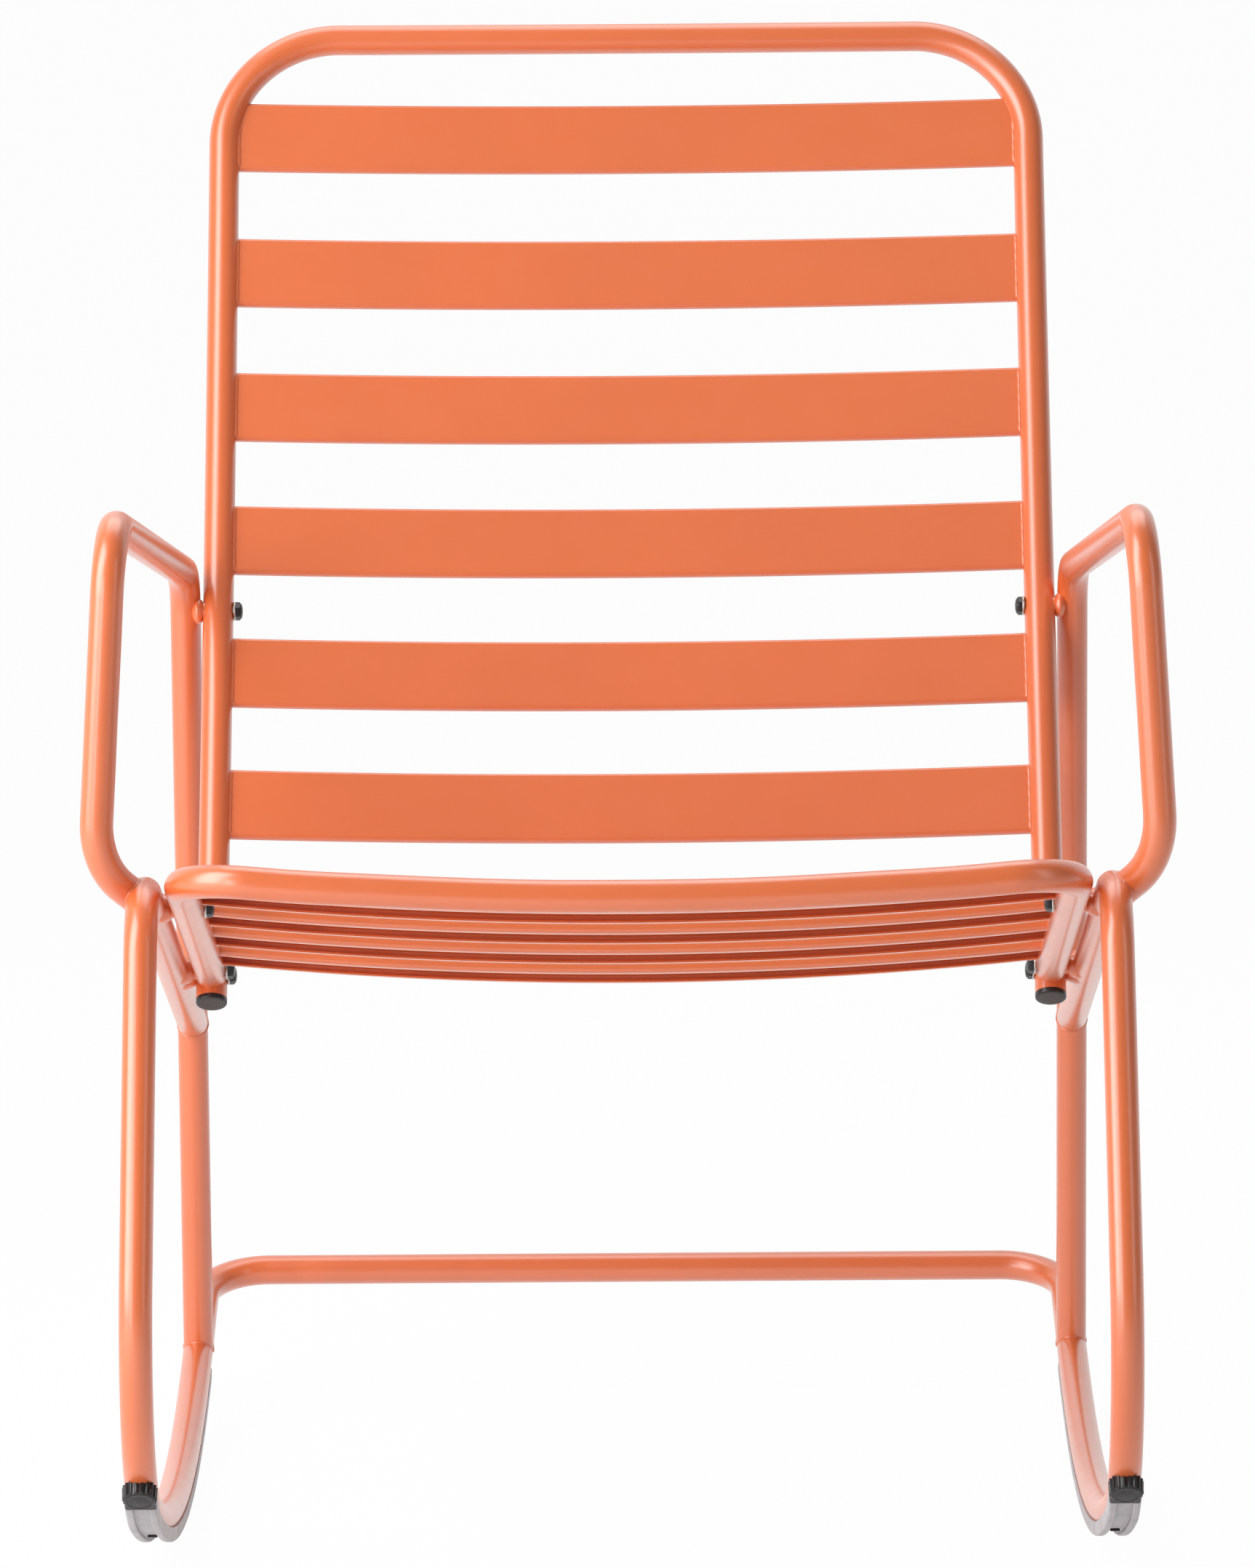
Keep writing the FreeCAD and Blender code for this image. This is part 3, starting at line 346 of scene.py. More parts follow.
def ring(radius, sides=TUBE_SIDES):
    """Circle as a closed outline, anticlockwise: radius * (cos(a), sin(a))."""
    angle = np.linspace(0.0, 2 * math.pi, sides, endpoint=False)
    return radius * np.stack([np.cos(angle), np.sin(angle)], axis=-1)


def carry(path, outline, reference, closed=False):
    """Grid of an outline carried along a path: path + u * across + v * upright.

    Upright is the reference made square to the path, across is upright x ahead, and the outline's
    (u, v) run anticlockwise, so that the faces point outwards.
    """
    if closed:
        ahead = unit(np.roll(path, -1, axis=0) - np.roll(path, 1, axis=0))
    else:
        ahead = unit(np.gradient(path, axis=0))
    reference = np.broadcast_to(reference, ahead.shape)
    upright = unit(reference - ahead * np.sum(reference * ahead, axis=-1, keepdims=True))
    across = np.cross(upright, ahead)
    outline = np.broadcast_to(outline, (len(path),) + np.shape(outline)[-2:])
    return path[:, None] + outline[..., :1] * across[:, None] + outline[..., 1:] * upright[:, None]


def turned(distance, radius, centre, axis, side):
    """Grid of a piece round an axis.

    Its points are centre + distance * axis + radius * (cos(a) * side + sin(a) * (axis x side)). Each
    distance has one radius, or a row of them round the axis where the piece has ribs or flats.
    """
    if radius.ndim == 1:
        radius = np.repeat(radius[:, None], ROUND_SIDES, axis=1)
    circle = ring(1.0, radius.shape[1])
    rim = circle[:, :1] * side + circle[:, 1:] * np.cross(axis, side)
    return centre + distance[:, None, None] * axis + radius[..., None] * rim


def mirrored(grid):
    """Grid of the right-hand piece, its outlines turned round so that its faces still point outwards."""
    return (grid * MIRROR)[:, ::-1]


def shell(grid, closed=False):
    """Vertices and faces of a grid whose rows are closed outlines; open ends get a flat cap each."""
    rows, sides = grid.shape[:2]
    index = np.arange(rows * sides).reshape(rows, sides)
    below = index if closed else index[:-1]
    above = np.roll(index, -1, axis=0) if closed else index[1:]
    faces = np.stack([below, np.roll(below, -1, axis=1), np.roll(above, -1, axis=1), above], axis=-1)
    faces = faces.reshape(-1, 4).tolist()
    if not closed:
        faces += [index[0, ::-1].tolist(), index[-1].tolist()]
    return grid.reshape(-1, 3), faces


def both(grid):
    """Shells of a left-hand grid and of its mirror image."""
    return [shell(grid), shell(mirrored(grid))]


def tube(path, reference):
    """Round tube: a circle carried along a path."""
    return shell(carry(path, ring(TUBE_RADIUS), reference))


def piece(name, shells, slot, node):
    """Object of one or more shells, smooth but for its real edges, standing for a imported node."""
    starts = np.cumsum([0] + [len(points) for points, _ in shells])
    faces = [[i + int(start) for i in face] for (_, part), start in zip(shells, starts) for face in part]
    mesh = bpy.data.meshes.new(name)
    mesh.from_pydata(np.concatenate([points for points, _ in shells]).tolist(), [], faces)
    mesh.shade_smooth()
    mesh.set_sharp_from_angle(angle=SHARP_EDGE)
    mesh.materials.append(FINISHES[slot])
    made = bpy.data.objects.new(name, mesh)
    bpy.context.scene.collection.objects.link(made)
    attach(made, "root")
    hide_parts(node)


def side_pieces(*rows):
    """Left-hand pieces of the rows (name, grid, slot, node), and then their mirror images."""
    for side, grid_of in (("left_", np.asarray), ("right_", mirrored)):
        for name, grid, slot, node in rows:
            piece(side + name, [shell(grid_of(grid))], slot, side + node)


# Finishes

# Nearly all of a noise's values lie between these two
NOISE_LOW, NOISE_HIGH = 0.3, 0.7
GRAIN_DEPTH = 0.0003
WHITE = (1.0, 1.0, 1.0, 1.0)


def set_sockets(node, values):
    """Give a node's sockets their plain values."""
    for name, value in values.items():
        node.inputs[name].default_value = value


def new_node(tree, kind, values):
    """Node of a kind, with the plain values of its sockets."""
    node = tree.nodes.new(kind)
    set_sockets(node, values)
    return node


def new_finish(name, colour, roughness):
    """Material of one colour and roughness, with its node tree and its shader."""
    finish = bpy.data.materials.new(name)
    finish.use_nodes = True
    shader = finish.node_tree.nodes["Principled BSDF"]
    set_sockets(shader, {"Base Color": (*colour, 1.0), "Roughness": roughness})
    return finish, finish.node_tree, shader


def noise(tree, scale, detail):
    """Noise on Object coordinates, with its scale in waves per metre."""
    place = tree.nodes.new("ShaderNodeTexCoord")
    grain = new_node(tree, "ShaderNodeTexNoise", {"Scale": scale, "Detail": detail})
    tree.links.new(place.outputs["Object"], grain.inputs["Vector"])
    return grain.outputs["Fac"]


def spread(tree, value, socket, low, high):
    """Drive a shader socket from a noise, evenly between two numbers."""
    span = new_node(tree, "ShaderNodeMapRange", {"From Min": NOISE_LOW, "From Max": NOISE_HIGH,
                                                 "To Min": low, "To Max": high})
    tree.links.new(value, span.inputs["Value"])
    tree.links.new(span.outputs["Result"], socket)


def tint(tree, value, socket, dark, light):
    """Drive a colour socket from a noise, evenly between two colours."""
    ramp = tree.nodes.new("ShaderNodeValToRGB")
    stops = ((NOISE_LOW, dark), (NOISE_HIGH, light))
    for element, (position, colour) in zip(ramp.color_ramp.elements, stops):
        element.position = position
        element.color = (*colour, 1.0)
    tree.links.new(value, ramp.inputs["Fac"])
    tree.links.new(ramp.outputs["Color"], socket)


def relief(tree, shader, height, strength):
    """Bump from a noise, as a share of the grain's depth."""
    bump = new_node(tree, "ShaderNodeBump", {"Strength": strength, "Distance": GRAIN_DEPTH})
    tree.links.new(height, bump.inputs["Height"])
    tree.links.new(bump.outputs["Normal"], shader.inputs["Normal"])


def orange_powder_coat():
    """Satin powder coat: the fine peel of baked powder, with a faint drift of colour and gloss."""
    colour = np.array([0.79, 0.156, 0.032])
    finish, tree, shader = new_finish("orange_powder_coat", colour, roughness=0.42)
    drift = noise(tree, scale=9.0, detail=3.0)
    cloud = noise(tree, scale=60.0, detail=3.0)
    peel = noise(tree, scale=500.0, detail=2.0)
    tint(tree, drift, shader.inputs["Base Color"], dark=colour * 0.965, light=colour * 1.02)
    spread(tree, cloud, shader.inputs["Roughness"], low=0.39, high=0.45)
    relief(tree, shader, peel, strength=0.012)
    set_sockets(shader, {"Specular IOR Level": 0.8, "Coat Weight": 1.0, "Coat Roughness": 0.27,
                         "Coat IOR": 1.7})
    return finish


def moulded_plastic(name, colour, roughness):
    """Matt moulded plastic: a fine erosion grain and slightly uneven gloss."""
    colour = np.array(colour)
    finish, tree, shader = new_finish(name, colour, roughness)
    drift = noise(tree, scale=40.0, detail=4.0)
    cloud = noise(tree, scale=250.0, detail=3.0)
    grain = noise(tree, scale=1800.0, detail=2.0)
    tint(tree, drift, shader.inputs["Base Color"], dark=colour * 0.85, light=colour * 1.15)
    spread(tree, cloud, shader.inputs["Roughness"], low=roughness - 0.06, high=roughness + 0.06)
    relief(tree, shader, grain, strength=0.06)
    return finish


def zinc_plate():
    """Bright zinc plating: metal with cloudy gloss."""
    colour = np.array([0.62, 0.62, 0.60])
    finish, tree, shader = new_finish("zinc_plate", colour, roughness=0.34)
    spangle = noise(tree, scale=300.0, detail=3.0)
    cloud = noise(tree, scale=500.0, detail=3.0)
    tint(tree, spangle, shader.inputs["Base Color"], dark=colour * 0.88, light=colour * 1.08)
    spread(tree, cloud, shader.inputs["Roughness"], low=0.28, high=0.42)
    set_sockets(shader, {"Metallic": 1.0})
    return finish


FINISHES = {"orange_coat": orange_powder_coat(),
            "black_plastic": moulded_plastic("black_plastic", (0.020, 0.019, 0.020), roughness=0.30),
            "grey_plastic": moulded_plastic("grey_plastic", (0.48, 0.47, 0.485), roughness=0.42),
            "zinc_steel": zinc_plate()}
for row in frame["record"]["subparts"]:
    node = frame["nodes"][row["node"]]
    node.data.materials.clear()
    node.data.materials.append(FINISHES[row["material_slot"]])


# Back and seat frames

def back_path():
    """Inverted U: two gently curved uprights and a top rail that bows slightly to the rear."""
    reach = BACK_CURVE_RADIUS * math.tan((BACK_RECLINE - recline_at(BACK_RISE)) / 2)
    bend = (JOINT_ALONG + reach * math.sin(BACK_RECLINE), JOINT_UP + reach * math.cos(BACK_RECLINE))
    side = [up_the_back(-BACK_DROP), bend]
    return bowed_u(side, [BACK_CURVE_RADIUS], up_the_back(BACK_RISE), -BACK_BOW * BACK_NORMAL,
                   BACK_CORNER_RADIUS)


def seat_path():
    """U of two straight rails and a front rail that bows down."""
    return bowed_u([(JOINT_ALONG, JOINT_UP)], [], (FRONT_ALONG, FRONT_UP), -SEAT_BOW * SEAT_NORMAL,
                   SEAT_CORNER_RADIUS)


piece("back_hoop", [tube(back_path(), BACK_NORMAL)], "orange_coat", "back_frame")
piece("seat_hoop", [tube(seat_path(), SEAT_NORMAL)], "orange_coat", "seat_frame")


# Slats

def channel_outline():
    """Rolled C channel: the sheet's middle line with rounded folds, plus and minus half the sheet."""
    half = (SLAT_WIDTH - SLAT_SHEET) / 2
    level = (SLAT_DEPTH - SLAT_SHEET) / 2
    lip = SLAT_WIDTH / 2 - SLAT_LIP
    corners = [(lip, -level, 0), (half, -level, 0), (half, level, 0)]
    corners += [(-u, v, 0) for u, v, _ in reversed(corners)]
    middle = bent_path(corners, [SLAT_FOLD] * 4)[:, :2]
    ahead = unit(np.gradient(middle, axis=0))
    outwards = np.stack([ahead[:, 1], -ahead[:, 0]], axis=-1) * SLAT_SHEET / 2
    return np.concatenate([middle + outwards, (middle - outwards)[::-1]])


def slat(middle, normal, bow):
    """Channel carried along a flat arc: its middle stands back by the bow, its ends lie in the rails.

    The arc's radius is (half width ** 2 + bow ** 2) / (2 * bow).
    """
    radius = (RAIL_X ** 2 + bow ** 2) / (2 * bow)
    reach = math.asin((RAIL_X - SLAT_END_INSET) / radius)
    angle = np.linspace(-reach, reach, SLAT_ROWS)[:, None]
    path = middle + radius * (np.sin(angle) * X_AXIS + (1 - np.cos(angle)) * normal)
    return shell(carry(path, channel_outline(), normal))


def end_weld(distance, bow):
    """Weld along the left end of a back slat's face: a thin bead, rippled and swollen at its two ends.

    It lies where the face, half a channel above the slat's middle line, meets the skin of the upright.
    Its radius closes at the ends as sqrt(1 - share ** 16), with share from -1 to 1 along the bead.
    """
    normal = back_normal(distance)
    climb = np.cross(normal, X_AXIS)
    rise = SLAT_DEPTH / 2 - 2 * bow / RAIL_X * TUBE_RADIUS
    inwards = math.sqrt(TUBE_RADIUS ** 2 - rise ** 2)
    share = np.linspace(-1.0, 1.0, END_WELD_ROWS)
    along = share[:, None] * (SLAT_WIDTH / 2 - END_WELD_SINK)
    middle = np.array([-RAIL_X + inwards, *up_the_back(distance)]) + (rise - END_WELD_SINK) * normal
    ripple = np.sin(END_WELD_RIPPLES * share + distance * END_WELD_RIPPLE_SHIFT)
    size = END_WELD_RADIUS * np.sqrt(1.0 - END_CLOSING * share ** 16)
    size = size * (1 + END_WELD_RIPPLE * ripple + END_WELD_SWELL * share ** 4)
    return carry(middle + along * climb, size[:, None, None] * ring(1.0, END_WELD_SIDES), normal)


for index in range(BACK_SLATS):
    distance = BACK_SLAT_FIRST + index * BACK_SLAT_PITCH + index * (index - 1) / 2 * BACK_SLAT_GROWTH
    normal = back_normal(distance)
    bow = BACK_SLAT_BOW - index * BACK_SLAT_EASE
    made = slat(np.array([0.0, *up_the_back(distance)]) - bow * normal, normal, bow)
    piece("back_channel_%d" % (index + 1), [made, *both(end_weld(distance, bow))], "orange_coat",
          "back_slat_%d" % (index + 1))

for index in range(SEAT_SLATS):
    distance = SEAT_DEPTH - SEAT_SLAT_FIRST - index * SEAT_SLAT_PITCH
    middle = np.array([0.0, *along_seat(distance)]) + (SEAT_SLAT_LIFT - SEAT_BOW) * SEAT_NORMAL
    piece("seat_channel_%d" % (index + 1), [slat(middle, SEAT_NORMAL, SEAT_BOW)], "orange_coat",
          "seat_slat_%d" % (index + 1))


# Side frames

def toe_joint():
    """Weld between leg and rocker, in the middle of the straight run before the toe bend."""
    along, up = on_rocker(-ARC_FRONT)
    half = TOE_RUN / 2
    return over_rocker(along - half * math.cos(ARC_FRONT), up + half * math.sin(ARC_FRONT))


def leg_path():
    """From the rocker round the toe, up the front leg and back along the side bar."""
    corners = [toe_joint(), over_rocker(*toe_corner()), on_side(LEG_TOP), on_side(bar_end())]
    return bent_path(corners, [TOE_RADIUS, LEG_TOP_RADIUS])


def arm_corners():
    """Arm from its weld on the side bar, up the post, along the armrest and down the rear leg."""
    root = along_seat(SEAT_DEPTH - ARM_ROOT_SETBACK)
    root = (root[0], root[1] - ARM_ROOT_DROP)
    post = (FRONT_ALONG + ARM_POST_SETBACK, FRONT_UP + ARM_POST_RISE)
    bend = (REAR_LEG_TOP[0] - LEG_FALL * ARM_BEND_RISE, REAR_LEG_TOP[1] + ARM_BEND_RISE)
    tip_along = FRONT_ALONG + ARM_TIP_SETBACK
    tip = (tip_along, bend[1] + (bend[0] - tip_along) * math.tan(ARM_SLOPE))
    corners = [on_side(root), on_side(post, ARM_POST_SPREAD), on_side(tip, ARM_TIP_SPREAD),
               on_side(bend), on_side(rear_leg_foot())]
    corners[0] = corners[0] + ARM_ROOT_CUT * unit(corners[1] - corners[0])
    return corners


def rocker_path():
    """Base of one tube: left rocker from its toe, rear crossbar and right rocker."""
    reach = ROCKER_RADIUS * math.tan((ARC_FRONT + ROCKER_REAR_ANGLE) / 2)
    front, rear = on_rocker(-ARC_FRONT), on_rocker(ROCKER_REAR_ANGLE)
    arc_corner = (front[0] + reach * math.cos(ARC_FRONT), front[1] - reach * math.sin(ARC_FRONT))
    bar_along = CONTACT_ALONG + CROSSBAR_SETBACK
    bar = (bar_along, rear[1] + (bar_along - rear[0]) * math.tan(ROCKER_REAR_ANGLE))
    left = [toe_joint(), over_rocker(*arc_corner), over_rocker(*bar)]
    radii = [ROCKER_RADIUS, ROCKER_REAR_RADIUS]
    return bent_path(left + [point * MIRROR for point in reversed(left)], radii + radii[::-1])


def weld_seam(start, end, main):
    """Closed line where the skin of a straight branch tube meets the skin of a main tube.

    Each line of the branch's skin is followed towards the main tube. The seam takes the point where its
    distance from the main tube's centre line falls to the tube radius, or else the branch's end.
    """
    line = even_points(main)
    line = line[np.linalg.norm(line - end, axis=-1) < SEAM_REACH]
    ahead = unit(end - start)
    side = unit(np.cross(ahead, X_AXIS))
    circle = ring(TUBE_RADIUS, SEAM_POINTS)
    rim = circle[:, :1] * side + circle[:, 1:] * np.cross(ahead, side)
    travel = np.linspace(-SEAM_TRAVEL, 0.0, SEAM_TRIALS)
    points = end + rim[:, None] + travel[:, None] * ahead
    far = np.linalg.norm(points[:, :, None] - line, axis=-1).min(axis=-1)
    inside = far <= TUBE_RADIUS
    meets = inside.any(axis=1)
    hit = np.where(meets, np.argmax(inside, axis=1), len(travel) - 1)
    row = np.arange(len(hit))
    before, after = far[row, hit - 1], far[row, hit]
    share = np.where(meets, (before - TUBE_RADIUS) / (before - after), 1.0)
    return points[row, hit - 1] + share[:, None] * (points[row, hit] - points[row, hit - 1])


def weld_bead(start, end, main):
    """Weld round a branch tube: a thin ring along the seam, with the ripples of its runs."""
    seam = weld_seam(start, end, main)
    phase = np.linspace(0.0, 2 * math.pi, len(seam), endpoint=False)
    ripple = WELD_RIPPLE * np.sin(WELD_RIPPLES * phase)
    swell = WELD_SWELL * np.sin(WELD_SWELLS * phase + WELD_SWELL_START)
    outline = WELD_RADIUS * (1 + ripple + swell)[:, None, None] * ring(1.0, WELD_SIDES)
    return shell(carry(seam, outline, unit(end - start), closed=True), closed=True)


leg_line = leg_path()
bar_line = np.array([on_side(LEG_TOP), on_side(bar_end())])
arm_points = np.array(arm_corners())
arm_line = bent_path(arm_points, [ARM_POST_RADIUS, ARM_TIP_RADIUS, ARM_BEND_RADIUS])
rocker_line = rocker_path()
piece("rocker_hoop", [tube(rocker_line, Z_AXIS)], "orange_coat", "rocker_base")
for side, flip in (("left", np.ones(3)), ("right", MIRROR)):
    leg, bar, arm, corners = leg_line * flip, bar_line * flip, arm_line * flip, arm_points * flip
    welds = [weld_bead(corners[1], corners[0], leg), weld_bead(bar[0], bar[1], arm),
             weld_bead(corners[3], corners[4], rocker_line)]
    piece(side + "_leg_tube", [tube(leg, X_AXIS)], "orange_coat", side + "_front_leg")
    piece(side + "_arm_tube", [tube(arm, X_AXIS)] + welds, "orange_coat", side + "_arm")


# Glides, their end caps and the front stops

def glide_outline(groove):
    """Trough under the tube, its ridges rounded; its upper side follows the tube."""
    half, tread, slot = GLIDE_WIDTH / 2, GLIDE_TREAD / 2, GROOVE_WIDTH / 2
    low = -TUBE_RADIUS - GLIDE_THICKNESS
    corners = [(-half, -GLIDE_WALL_RISE, 0), (-half, low + GLIDE_KNEE_RISE, 0), (-tread, low, 0)]
    radii = GLIDE_EDGE_RADII
    if groove:
        corners += [(-slot, low, 0), (-slot, low + GROOVE_DEPTH, 0)]
        radii = radii + GROOVE_EDGE_RADII
    corners += [(-u, v, 0) for u, v, _ in reversed(corners)]
    outer = bent_path(corners, radii + radii[::-1])[:, :2]
    reach = math.acos(GLIDE_WALL_RISE / TUBE_RADIUS)
    angle = np.linspace(reach, -reach, GLIDE_BED_POINTS)
    inner = TUBE_RADIUS * np.stack([np.sin(angle), -np.cos(angle)], axis=-1)
    return np.concatenate([outer, inner])


def under_tube(path, groove):
    """Glide's outline carried along the left rocker, cut off at the floor."""
    ahead = unit(np.gradient(path, axis=0))
    upright = np.stack([np.zeros(len(path)), -ahead[:, 2], ahead[:, 1]], axis=-1)
    grid = carry(path, glide_outline(groove), upright)
    grid[..., 2] = np.maximum(grid[..., 2], 0.0)
    return grid


def stop_grid():
    """Ribbed round stop on the toe bend: a rounded edge, and a face that is slightly domed.

    The ribs add their depth times a cosine round the axis, squared off by tanh, and fade at the edge.
    """
    base, top = TUBE_RADIUS - STOP_SINK, TUBE_RADIUS + STOP_HEIGHT
    inner = STOP_RADIUS - STOP_RIB_DEPTH
    bevel = np.linspace(0.0, math.pi / 2, STOP_EDGE_ROWS)
    share = np.linspace(FACE_START, FACE_END, STOP_FACE_ROWS)
    distance = np.concatenate([[base], top - STOP_EDGE * (1 - np.sin(bevel)),
                               top - STOP_CROWN * share ** 2])
    radius = np.concatenate([[inner], inner - STOP_EDGE * (1 - np.cos(bevel)),
                             share * (inner - STOP_EDGE)])
    angle = np.linspace(0.0, 2 * math.pi, STOP_RIB_POINTS * STOP_RIBS, endpoint=False)
    wave = np.tanh(STOP_RIB_CREST * np.cos(STOP_RIBS * angle)) / math.tanh(STOP_RIB_CREST)
    fade = np.clip((top - STOP_FADE_END - distance) / STOP_FADE_LENGTH, 0.0, 1.0)
    radius = radius[:, None] + fade[:, None] * STOP_RIB_DEPTH * (0.5 + 0.5 * wave)
    return turned(distance, radius, on_toe(STOP_SLOPE), forwards_of_down(STOP_SLOPE), X_AXIS)


cap_line = on_toe(np.linspace(GLIDE_FRONT_SLOPE + END_CAP_SLOPE, GLIDE_FRONT_SLOPE, END_CAP_ROWS))
toe_part = on_toe(np.linspace(GLIDE_FRONT_SLOPE, ARC_FRONT, TOE_ROWS))
rocker_part = over_rocker(*on_rocker(np.linspace(-ARC_FRONT, GLIDE_REAR_ANGLE, ROCKER_ROWS)))
glide_line = np.concatenate([toe_part, rocker_part])
side_pieces(("glide", under_tube(glide_line, True), "grey_plastic", "rocker_glide"),
            ("end_cap", under_tube(cap_line, False), "black_plastic", "glide_cap"),
            ("ribbed_stop", stop_grid(), "black_plastic", "front_stop"))


# Plugs, bosses, washers and nuts

def plug_grid():
    """Round plug in the lower end of the left upright: its stem, and a head with a rounded edge."""
    turn = np.linspace(0.0, math.pi / 2, PLUG_EDGE_ROWS)
    distance = np.concatenate([[-PLUG_STEM, 0.0, PLUG_UNDERCUT],
                               PLUG_HEAD - PLUG_EDGE * (1 - np.sin(turn)),
                               [PLUG_HEAD, PLUG_HEAD]])
    radius = np.concatenate([[PLUG_STEM_RADIUS, PLUG_STEM_RADIUS, TUBE_RADIUS],
                             TUBE_RADIUS - PLUG_EDGE * (1 - np.cos(turn)),
                             [TUBE_RADIUS / 2, FACE_END * TUBE_RADIUS]])
    end = np.array([-RAIL_X, *up_the_back(-BACK_DROP)])
    return turned(distance, radius, end, forwards_of_down(BACK_RECLINE), X_AXIS)


def boss_grid(spot, rounded):
    """Boss from the left side frame to the rail, flared by its weld on the side frame.

    The flare is the square root of the share of the gap that is left. A rounded outer end closes as
    an ellipse does, by sqrt(1 - share ** 2).
    """
    reach = side_x(spot[1]) - RAIL_X - 2 * TUBE_RADIUS
    distance = np.linspace(-BOSS_SINK, reach + BOSS_SINK, BOSS_ROWS)
    left = 1 - (distance + BOSS_FLARE_LEAD) / (reach + BOSS_FLARE_LEAD)
    radius = BOSS_RADIUS + BOSS_FLARE * np.clip(left, 0.0, 1.0) ** 0.5
    if rounded:
        radius = radius * np.sqrt(1 - END_CLOSING * np.clip(-distance / BOSS_SINK, 0.0, 1.0) ** 2)
    start = np.array([-side_x(spot[1]) + TUBE_RADIUS, *spot])
    return turned(distance, radius, start, X_AXIS, Y_AXIS)


def washer_grid(spot):
    """Flat washer on the inner side of the left rail, its rim a half circle."""
    rim = np.linspace(-math.pi / 2, math.pi / 2, WASHER_ROWS)
    half = WASHER_THICKNESS / 2
    radius = WASHER_RADIUS - half * (1 - np.cos(rim))
    return turned(half + half * np.sin(rim), radius, np.array([-RAIL_INSIDE, *spot]), X_AXIS, Y_AXIS)


def nut_grid(spot):
    """Cap nut: at each height the hexagon, trimmed to a circle at its chamfer, and a low dome on top.

    The hexagon's radius is half its width over flats, over cos(angle from the middle of its flat).
    """
    foot = NUT_FLATS / 2 - NUT_DOME_STEP
    dome = np.linspace(0.0, END_CLOSING, NUT_DOME_ROWS) * math.pi / 2
    height = np.concatenate([[0.0, NUT_HEX_HEIGHT - NUT_CHAMFER, NUT_HEX_HEIGHT],
                             NUT_HEX_HEIGHT + NUT_DOME_HEIGHT * np.sin(dome)])
    limit = np.concatenate([[np.inf, NUT_CHAMFER_RADIUS, foot], foot * np.cos(dome)])
    angle = np.linspace(0.0, 2 * math.pi, NUT_POINTS, endpoint=False)
    flat = math.pi / 3
    hexagon = NUT_FLATS / 2 / np.cos((angle + flat / 2) % flat - flat / 2)
    start = np.array([-RAIL_INSIDE + WASHER_THICKNESS, *spot])
    return turned(height, np.minimum(hexagon, limit[:, None]), start, X_AXIS, Y_AXIS)


side_pieces(("tube_plug", plug_grid(), "black_plastic", "upright_plug"))
STUDS = {"arm": ARM_BOLT,
         "back": up_the_back(0.0),
         "seat_front": along_seat(SEAT_DEPTH - FRONT_BOLT_SETBACK),
         "seat_rear": along_seat(REAR_BOLT_LEAD)}
washers, nuts = [], []
for place, spot in STUDS.items():
    boss = boss_grid(spot, rounded=place == "arm")
    piece(place + "_spacers", both(boss), "orange_coat", place + "_bosses")
    washers += both(washer_grid(spot))
    nuts += both(nut_grid(spot))
piece("flat_washers", washers, "zinc_steel", "washers")
piece("dome_nuts", nuts, "black_plastic", "cap_nuts")


# Floor, light and camera

FLOOR_EXTENT = 40.0
FLOOR_COLOUR, FLOOR_GLOW = (0.95, 0.95, 0.95, 1.0), 0.97
WORLD_LIGHT = 0.2
# The white backdrop comes in between these two: places on the floor, and directions in the world
FLOOR_BACKDROP, WORLD_BACKDROP = (-0.6, 0.3), (0.1, 0.7)

IMAGE_WIDTH, IMAGE_HEIGHT = 1725, 2156
FOCAL_PIXELS = 12000.0
AXIS_OFFSET_PIXELS = 2.3
SENSOR_WIDTH = 36.0
CAMERA_PITCH = math.radians(7.5)
CAMERA_YAW = math.radians(0.1655)
CAMERA_ROLL = math.radians(-0.42)
CAMERA_PLACE = (0.0157, JOINT_ALONG - 5.5205, 1.1915)
CAMERA_REACH = 100.0


def reckon(tree, operation, first, second):
    """Result of an operation on two sockets, by a Math node."""
    maths = tree.nodes.new("ShaderNodeMath")
    maths.operation = operation
    tree.links.new(first, maths.inputs[0])
    tree.links.new(second, maths.inputs[1])
    return maths.outputs["Value"]


def behind(tree, coordinates, start, end):
    """1 at the white backdrop behind the chair and 0 at the room in front, by a smooth step along Y."""
    place = tree.nodes.new("ShaderNodeTexCoord")
    split = tree.nodes.new("ShaderNodeSeparateXYZ")
    span = new_node(tree, "ShaderNodeMapRange", {"From Min": start, "From Max": end})
    span.interpolation_type = "SMOOTHSTEP"
    tree.links.new(place.outputs[coordinates], split.inputs["Vector"])
    tree.links.new(split.outputs["Y"], span.inputs["Value"])
    return span.outputs["Result"]


def background_rays(tree, backdrop, low, high):
    """High for rays that see the plain white surroundings, and low for all others.

    Rays from the camera see them everywhere, and rays from gloss or glass at the backdrop.
    """
    rays = tree.nodes.new("ShaderNodeLightPath")
    shine = reckon(tree, "MAXIMUM", rays.outputs["Is Glossy Ray"], rays.outputs["Is Transmission Ray"])
    shine = reckon(tree, "MULTIPLY", shine, backdrop)
    seen = reckon(tree, "MAXIMUM", rays.outputs["Is Camera Ray"], shine)
    level = new_node(tree, "ShaderNodeMapRange", {"To Min": low, "To Max": high})
    tree.links.new(seen, level.inputs["Value"])
    return level.outputs["Result"]


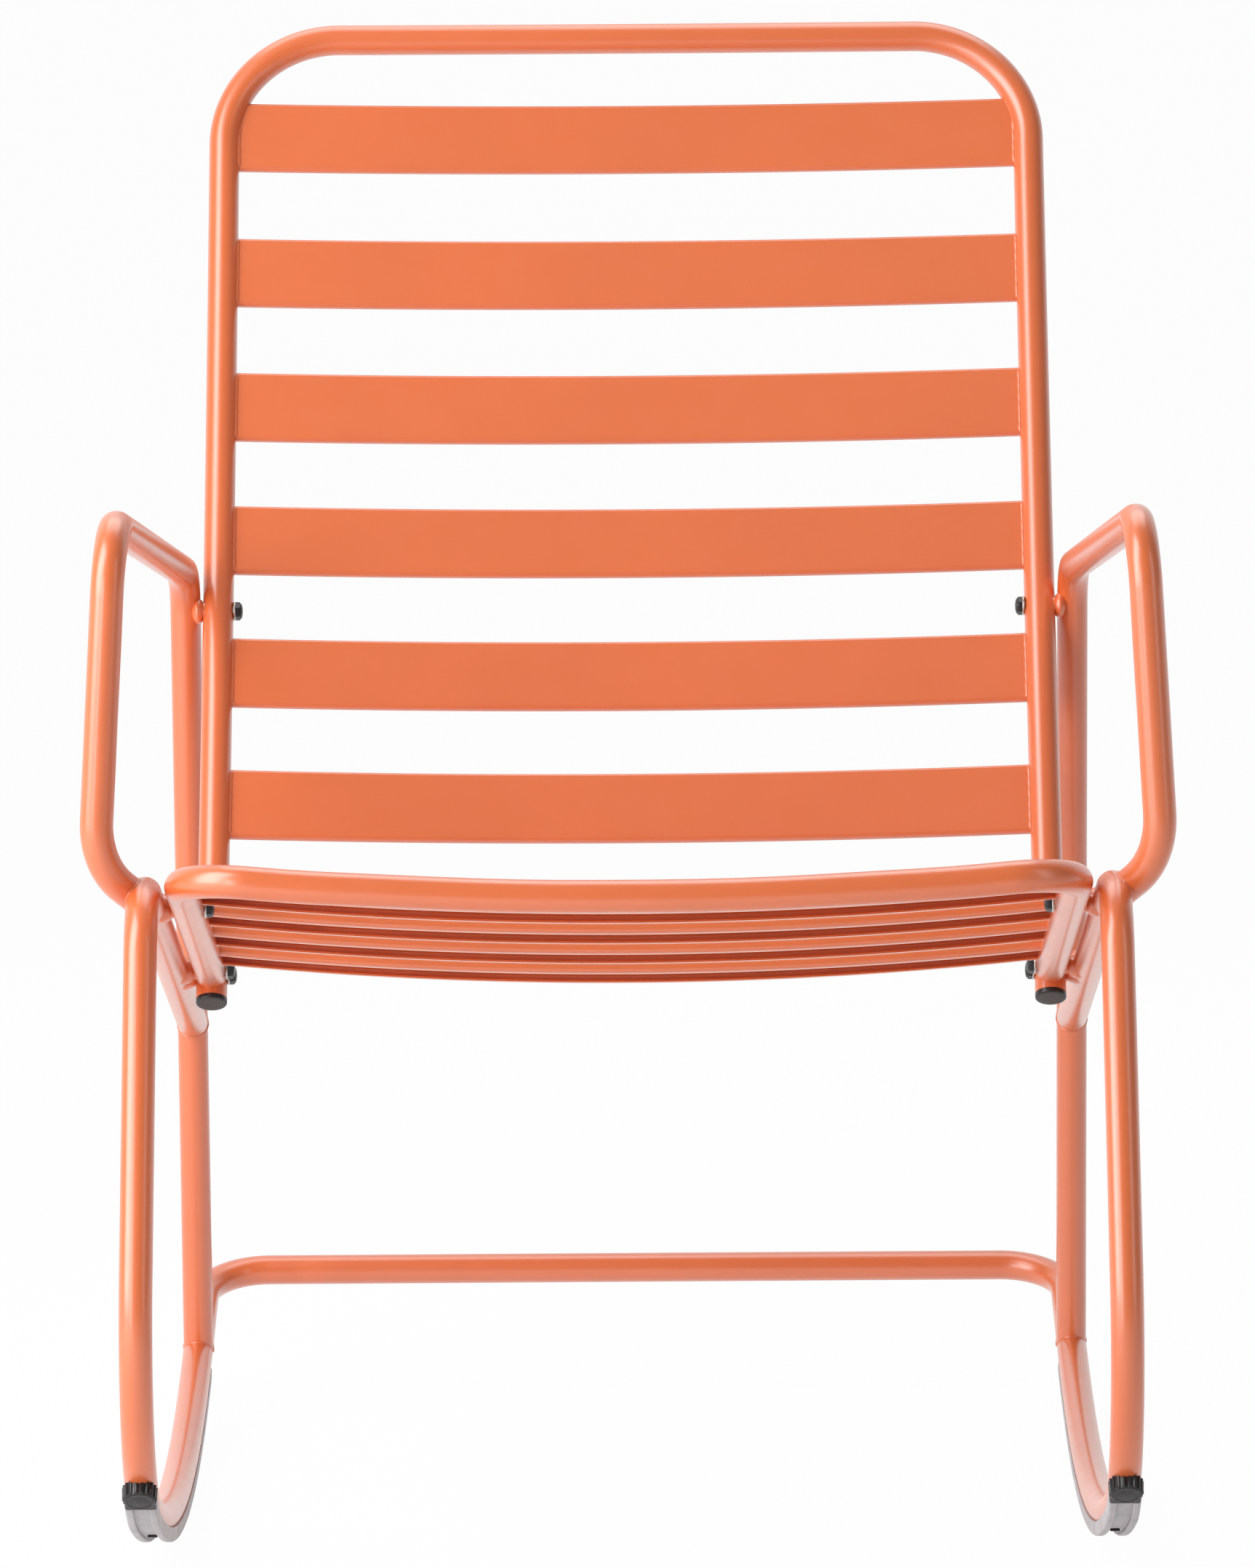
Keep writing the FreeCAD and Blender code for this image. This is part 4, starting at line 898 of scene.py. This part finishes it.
def studio_floor():
    """Plain white floor: white to background rays, but for a share that keeps the chair's shadow."""
    finish = bpy.data.materials.new("white_floor")
    finish.use_nodes = True
    tree = finish.node_tree
    tree.nodes.remove(tree.nodes["Principled BSDF"])
    paint = new_node(tree, "ShaderNodeBsdfDiffuse", {"Color": FLOOR_COLOUR})
    glow = new_node(tree, "ShaderNodeEmission", {"Color": WHITE, "Strength": 1.0})
    blend = tree.nodes.new("ShaderNodeMixShader")
    share = background_rays(tree, behind(tree, "Object", *FLOOR_BACKDROP), 0.0, FLOOR_GLOW)
    tree.links.new(share, blend.inputs["Fac"])
    tree.links.new(paint.outputs["BSDF"], blend.inputs[1])
    tree.links.new(glow.outputs["Emission"], blend.inputs[2])
    tree.links.new(blend.outputs["Shader"], tree.nodes["Material Output"].inputs["Surface"])
    square = np.array([(-1.0, -1.0, 0.0), (1.0, -1.0, 0.0), (1.0, 1.0, 0.0), (-1.0, 1.0, 0.0)])
    mesh = bpy.data.meshes.new("floor")
    mesh.from_pydata((FLOOR_EXTENT * square).tolist(), [], [(0, 1, 2, 3)])
    mesh.materials.append(finish)
    floor = bpy.data.objects.new("floor", mesh)
    bpy.context.scene.collection.objects.link(floor)


def studio_world():
    """White world: a dim light on the chair, and full white to background rays."""
    world = bpy.data.worlds.new("studio")
    world.use_nodes = True
    tree = world.node_tree
    sky = tree.nodes["Background"]
    set_sockets(sky, {"Color": WHITE})
    backdrop = behind(tree, "Generated", *WORLD_BACKDROP)
    tree.links.new(background_rays(tree, backdrop, WORLD_LIGHT, 1.0), sky.inputs["Strength"])
    bpy.context.scene.world = world


def softbox(name, place, aim, width, height, power):
    """Upright area light that faces a point."""
    lamp = bpy.data.lights.new(name, "AREA")
    lamp.shape = "RECTANGLE"
    lamp.size = width
    lamp.size_y = height
    lamp.energy = power
    light = bpy.data.objects.new(name, lamp)
    light.location = place
    light.rotation_euler = (Vector(aim) - Vector(place)).to_track_quat("-Z", "Y").to_euler()
    bpy.context.scene.collection.objects.link(light)


def photo_camera():
    """Camera at the photograph's viewing angle: a long lens, turned by yaw, pitch and then roll."""
    long_side = max(IMAGE_WIDTH, IMAGE_HEIGHT)
    lens = bpy.data.cameras.new("camera")
    lens.sensor_width = SENSOR_WIDTH
    lens.lens = SENSOR_WIDTH * FOCAL_PIXELS / long_side
    lens.shift_x = -AXIS_OFFSET_PIXELS / long_side
    lens.clip_end = CAMERA_REACH
    camera = bpy.data.objects.new("camera", lens)
    camera.matrix_world = (Matrix.Translation(CAMERA_PLACE) @ Matrix.Rotation(CAMERA_YAW, 4, "Z")
                           @ Matrix.Rotation(math.pi / 2 - CAMERA_PITCH, 4, "X")
                           @ Matrix.Rotation(CAMERA_ROLL, 4, "Z"))
    bpy.context.scene.collection.objects.link(camera)
    bpy.context.scene.camera = camera


studio_floor()
softbox("key_light", (-2.0, -1.35, 1.7), (0.0, 0.0, 0.6), 1.6, 3.2, 84.0)
softbox("fill_light", (1.9, -1.6, 1.2), (0.0, 0.0, 0.5), 0.5, 2.2, 5.0)
softbox("front_light", (-1.45, -2.6, 0.75), (0.0, 0.0, 0.5), 0.30, 1.5, 12.0)
softbox("top_light", (0.0, 0.9, 2.9), (0.0, 0.1, 0.4), 2.4, 1.6, 24.0)
studio_world()
photo_camera()
bpy.context.scene.view_settings.view_transform = "Standard"
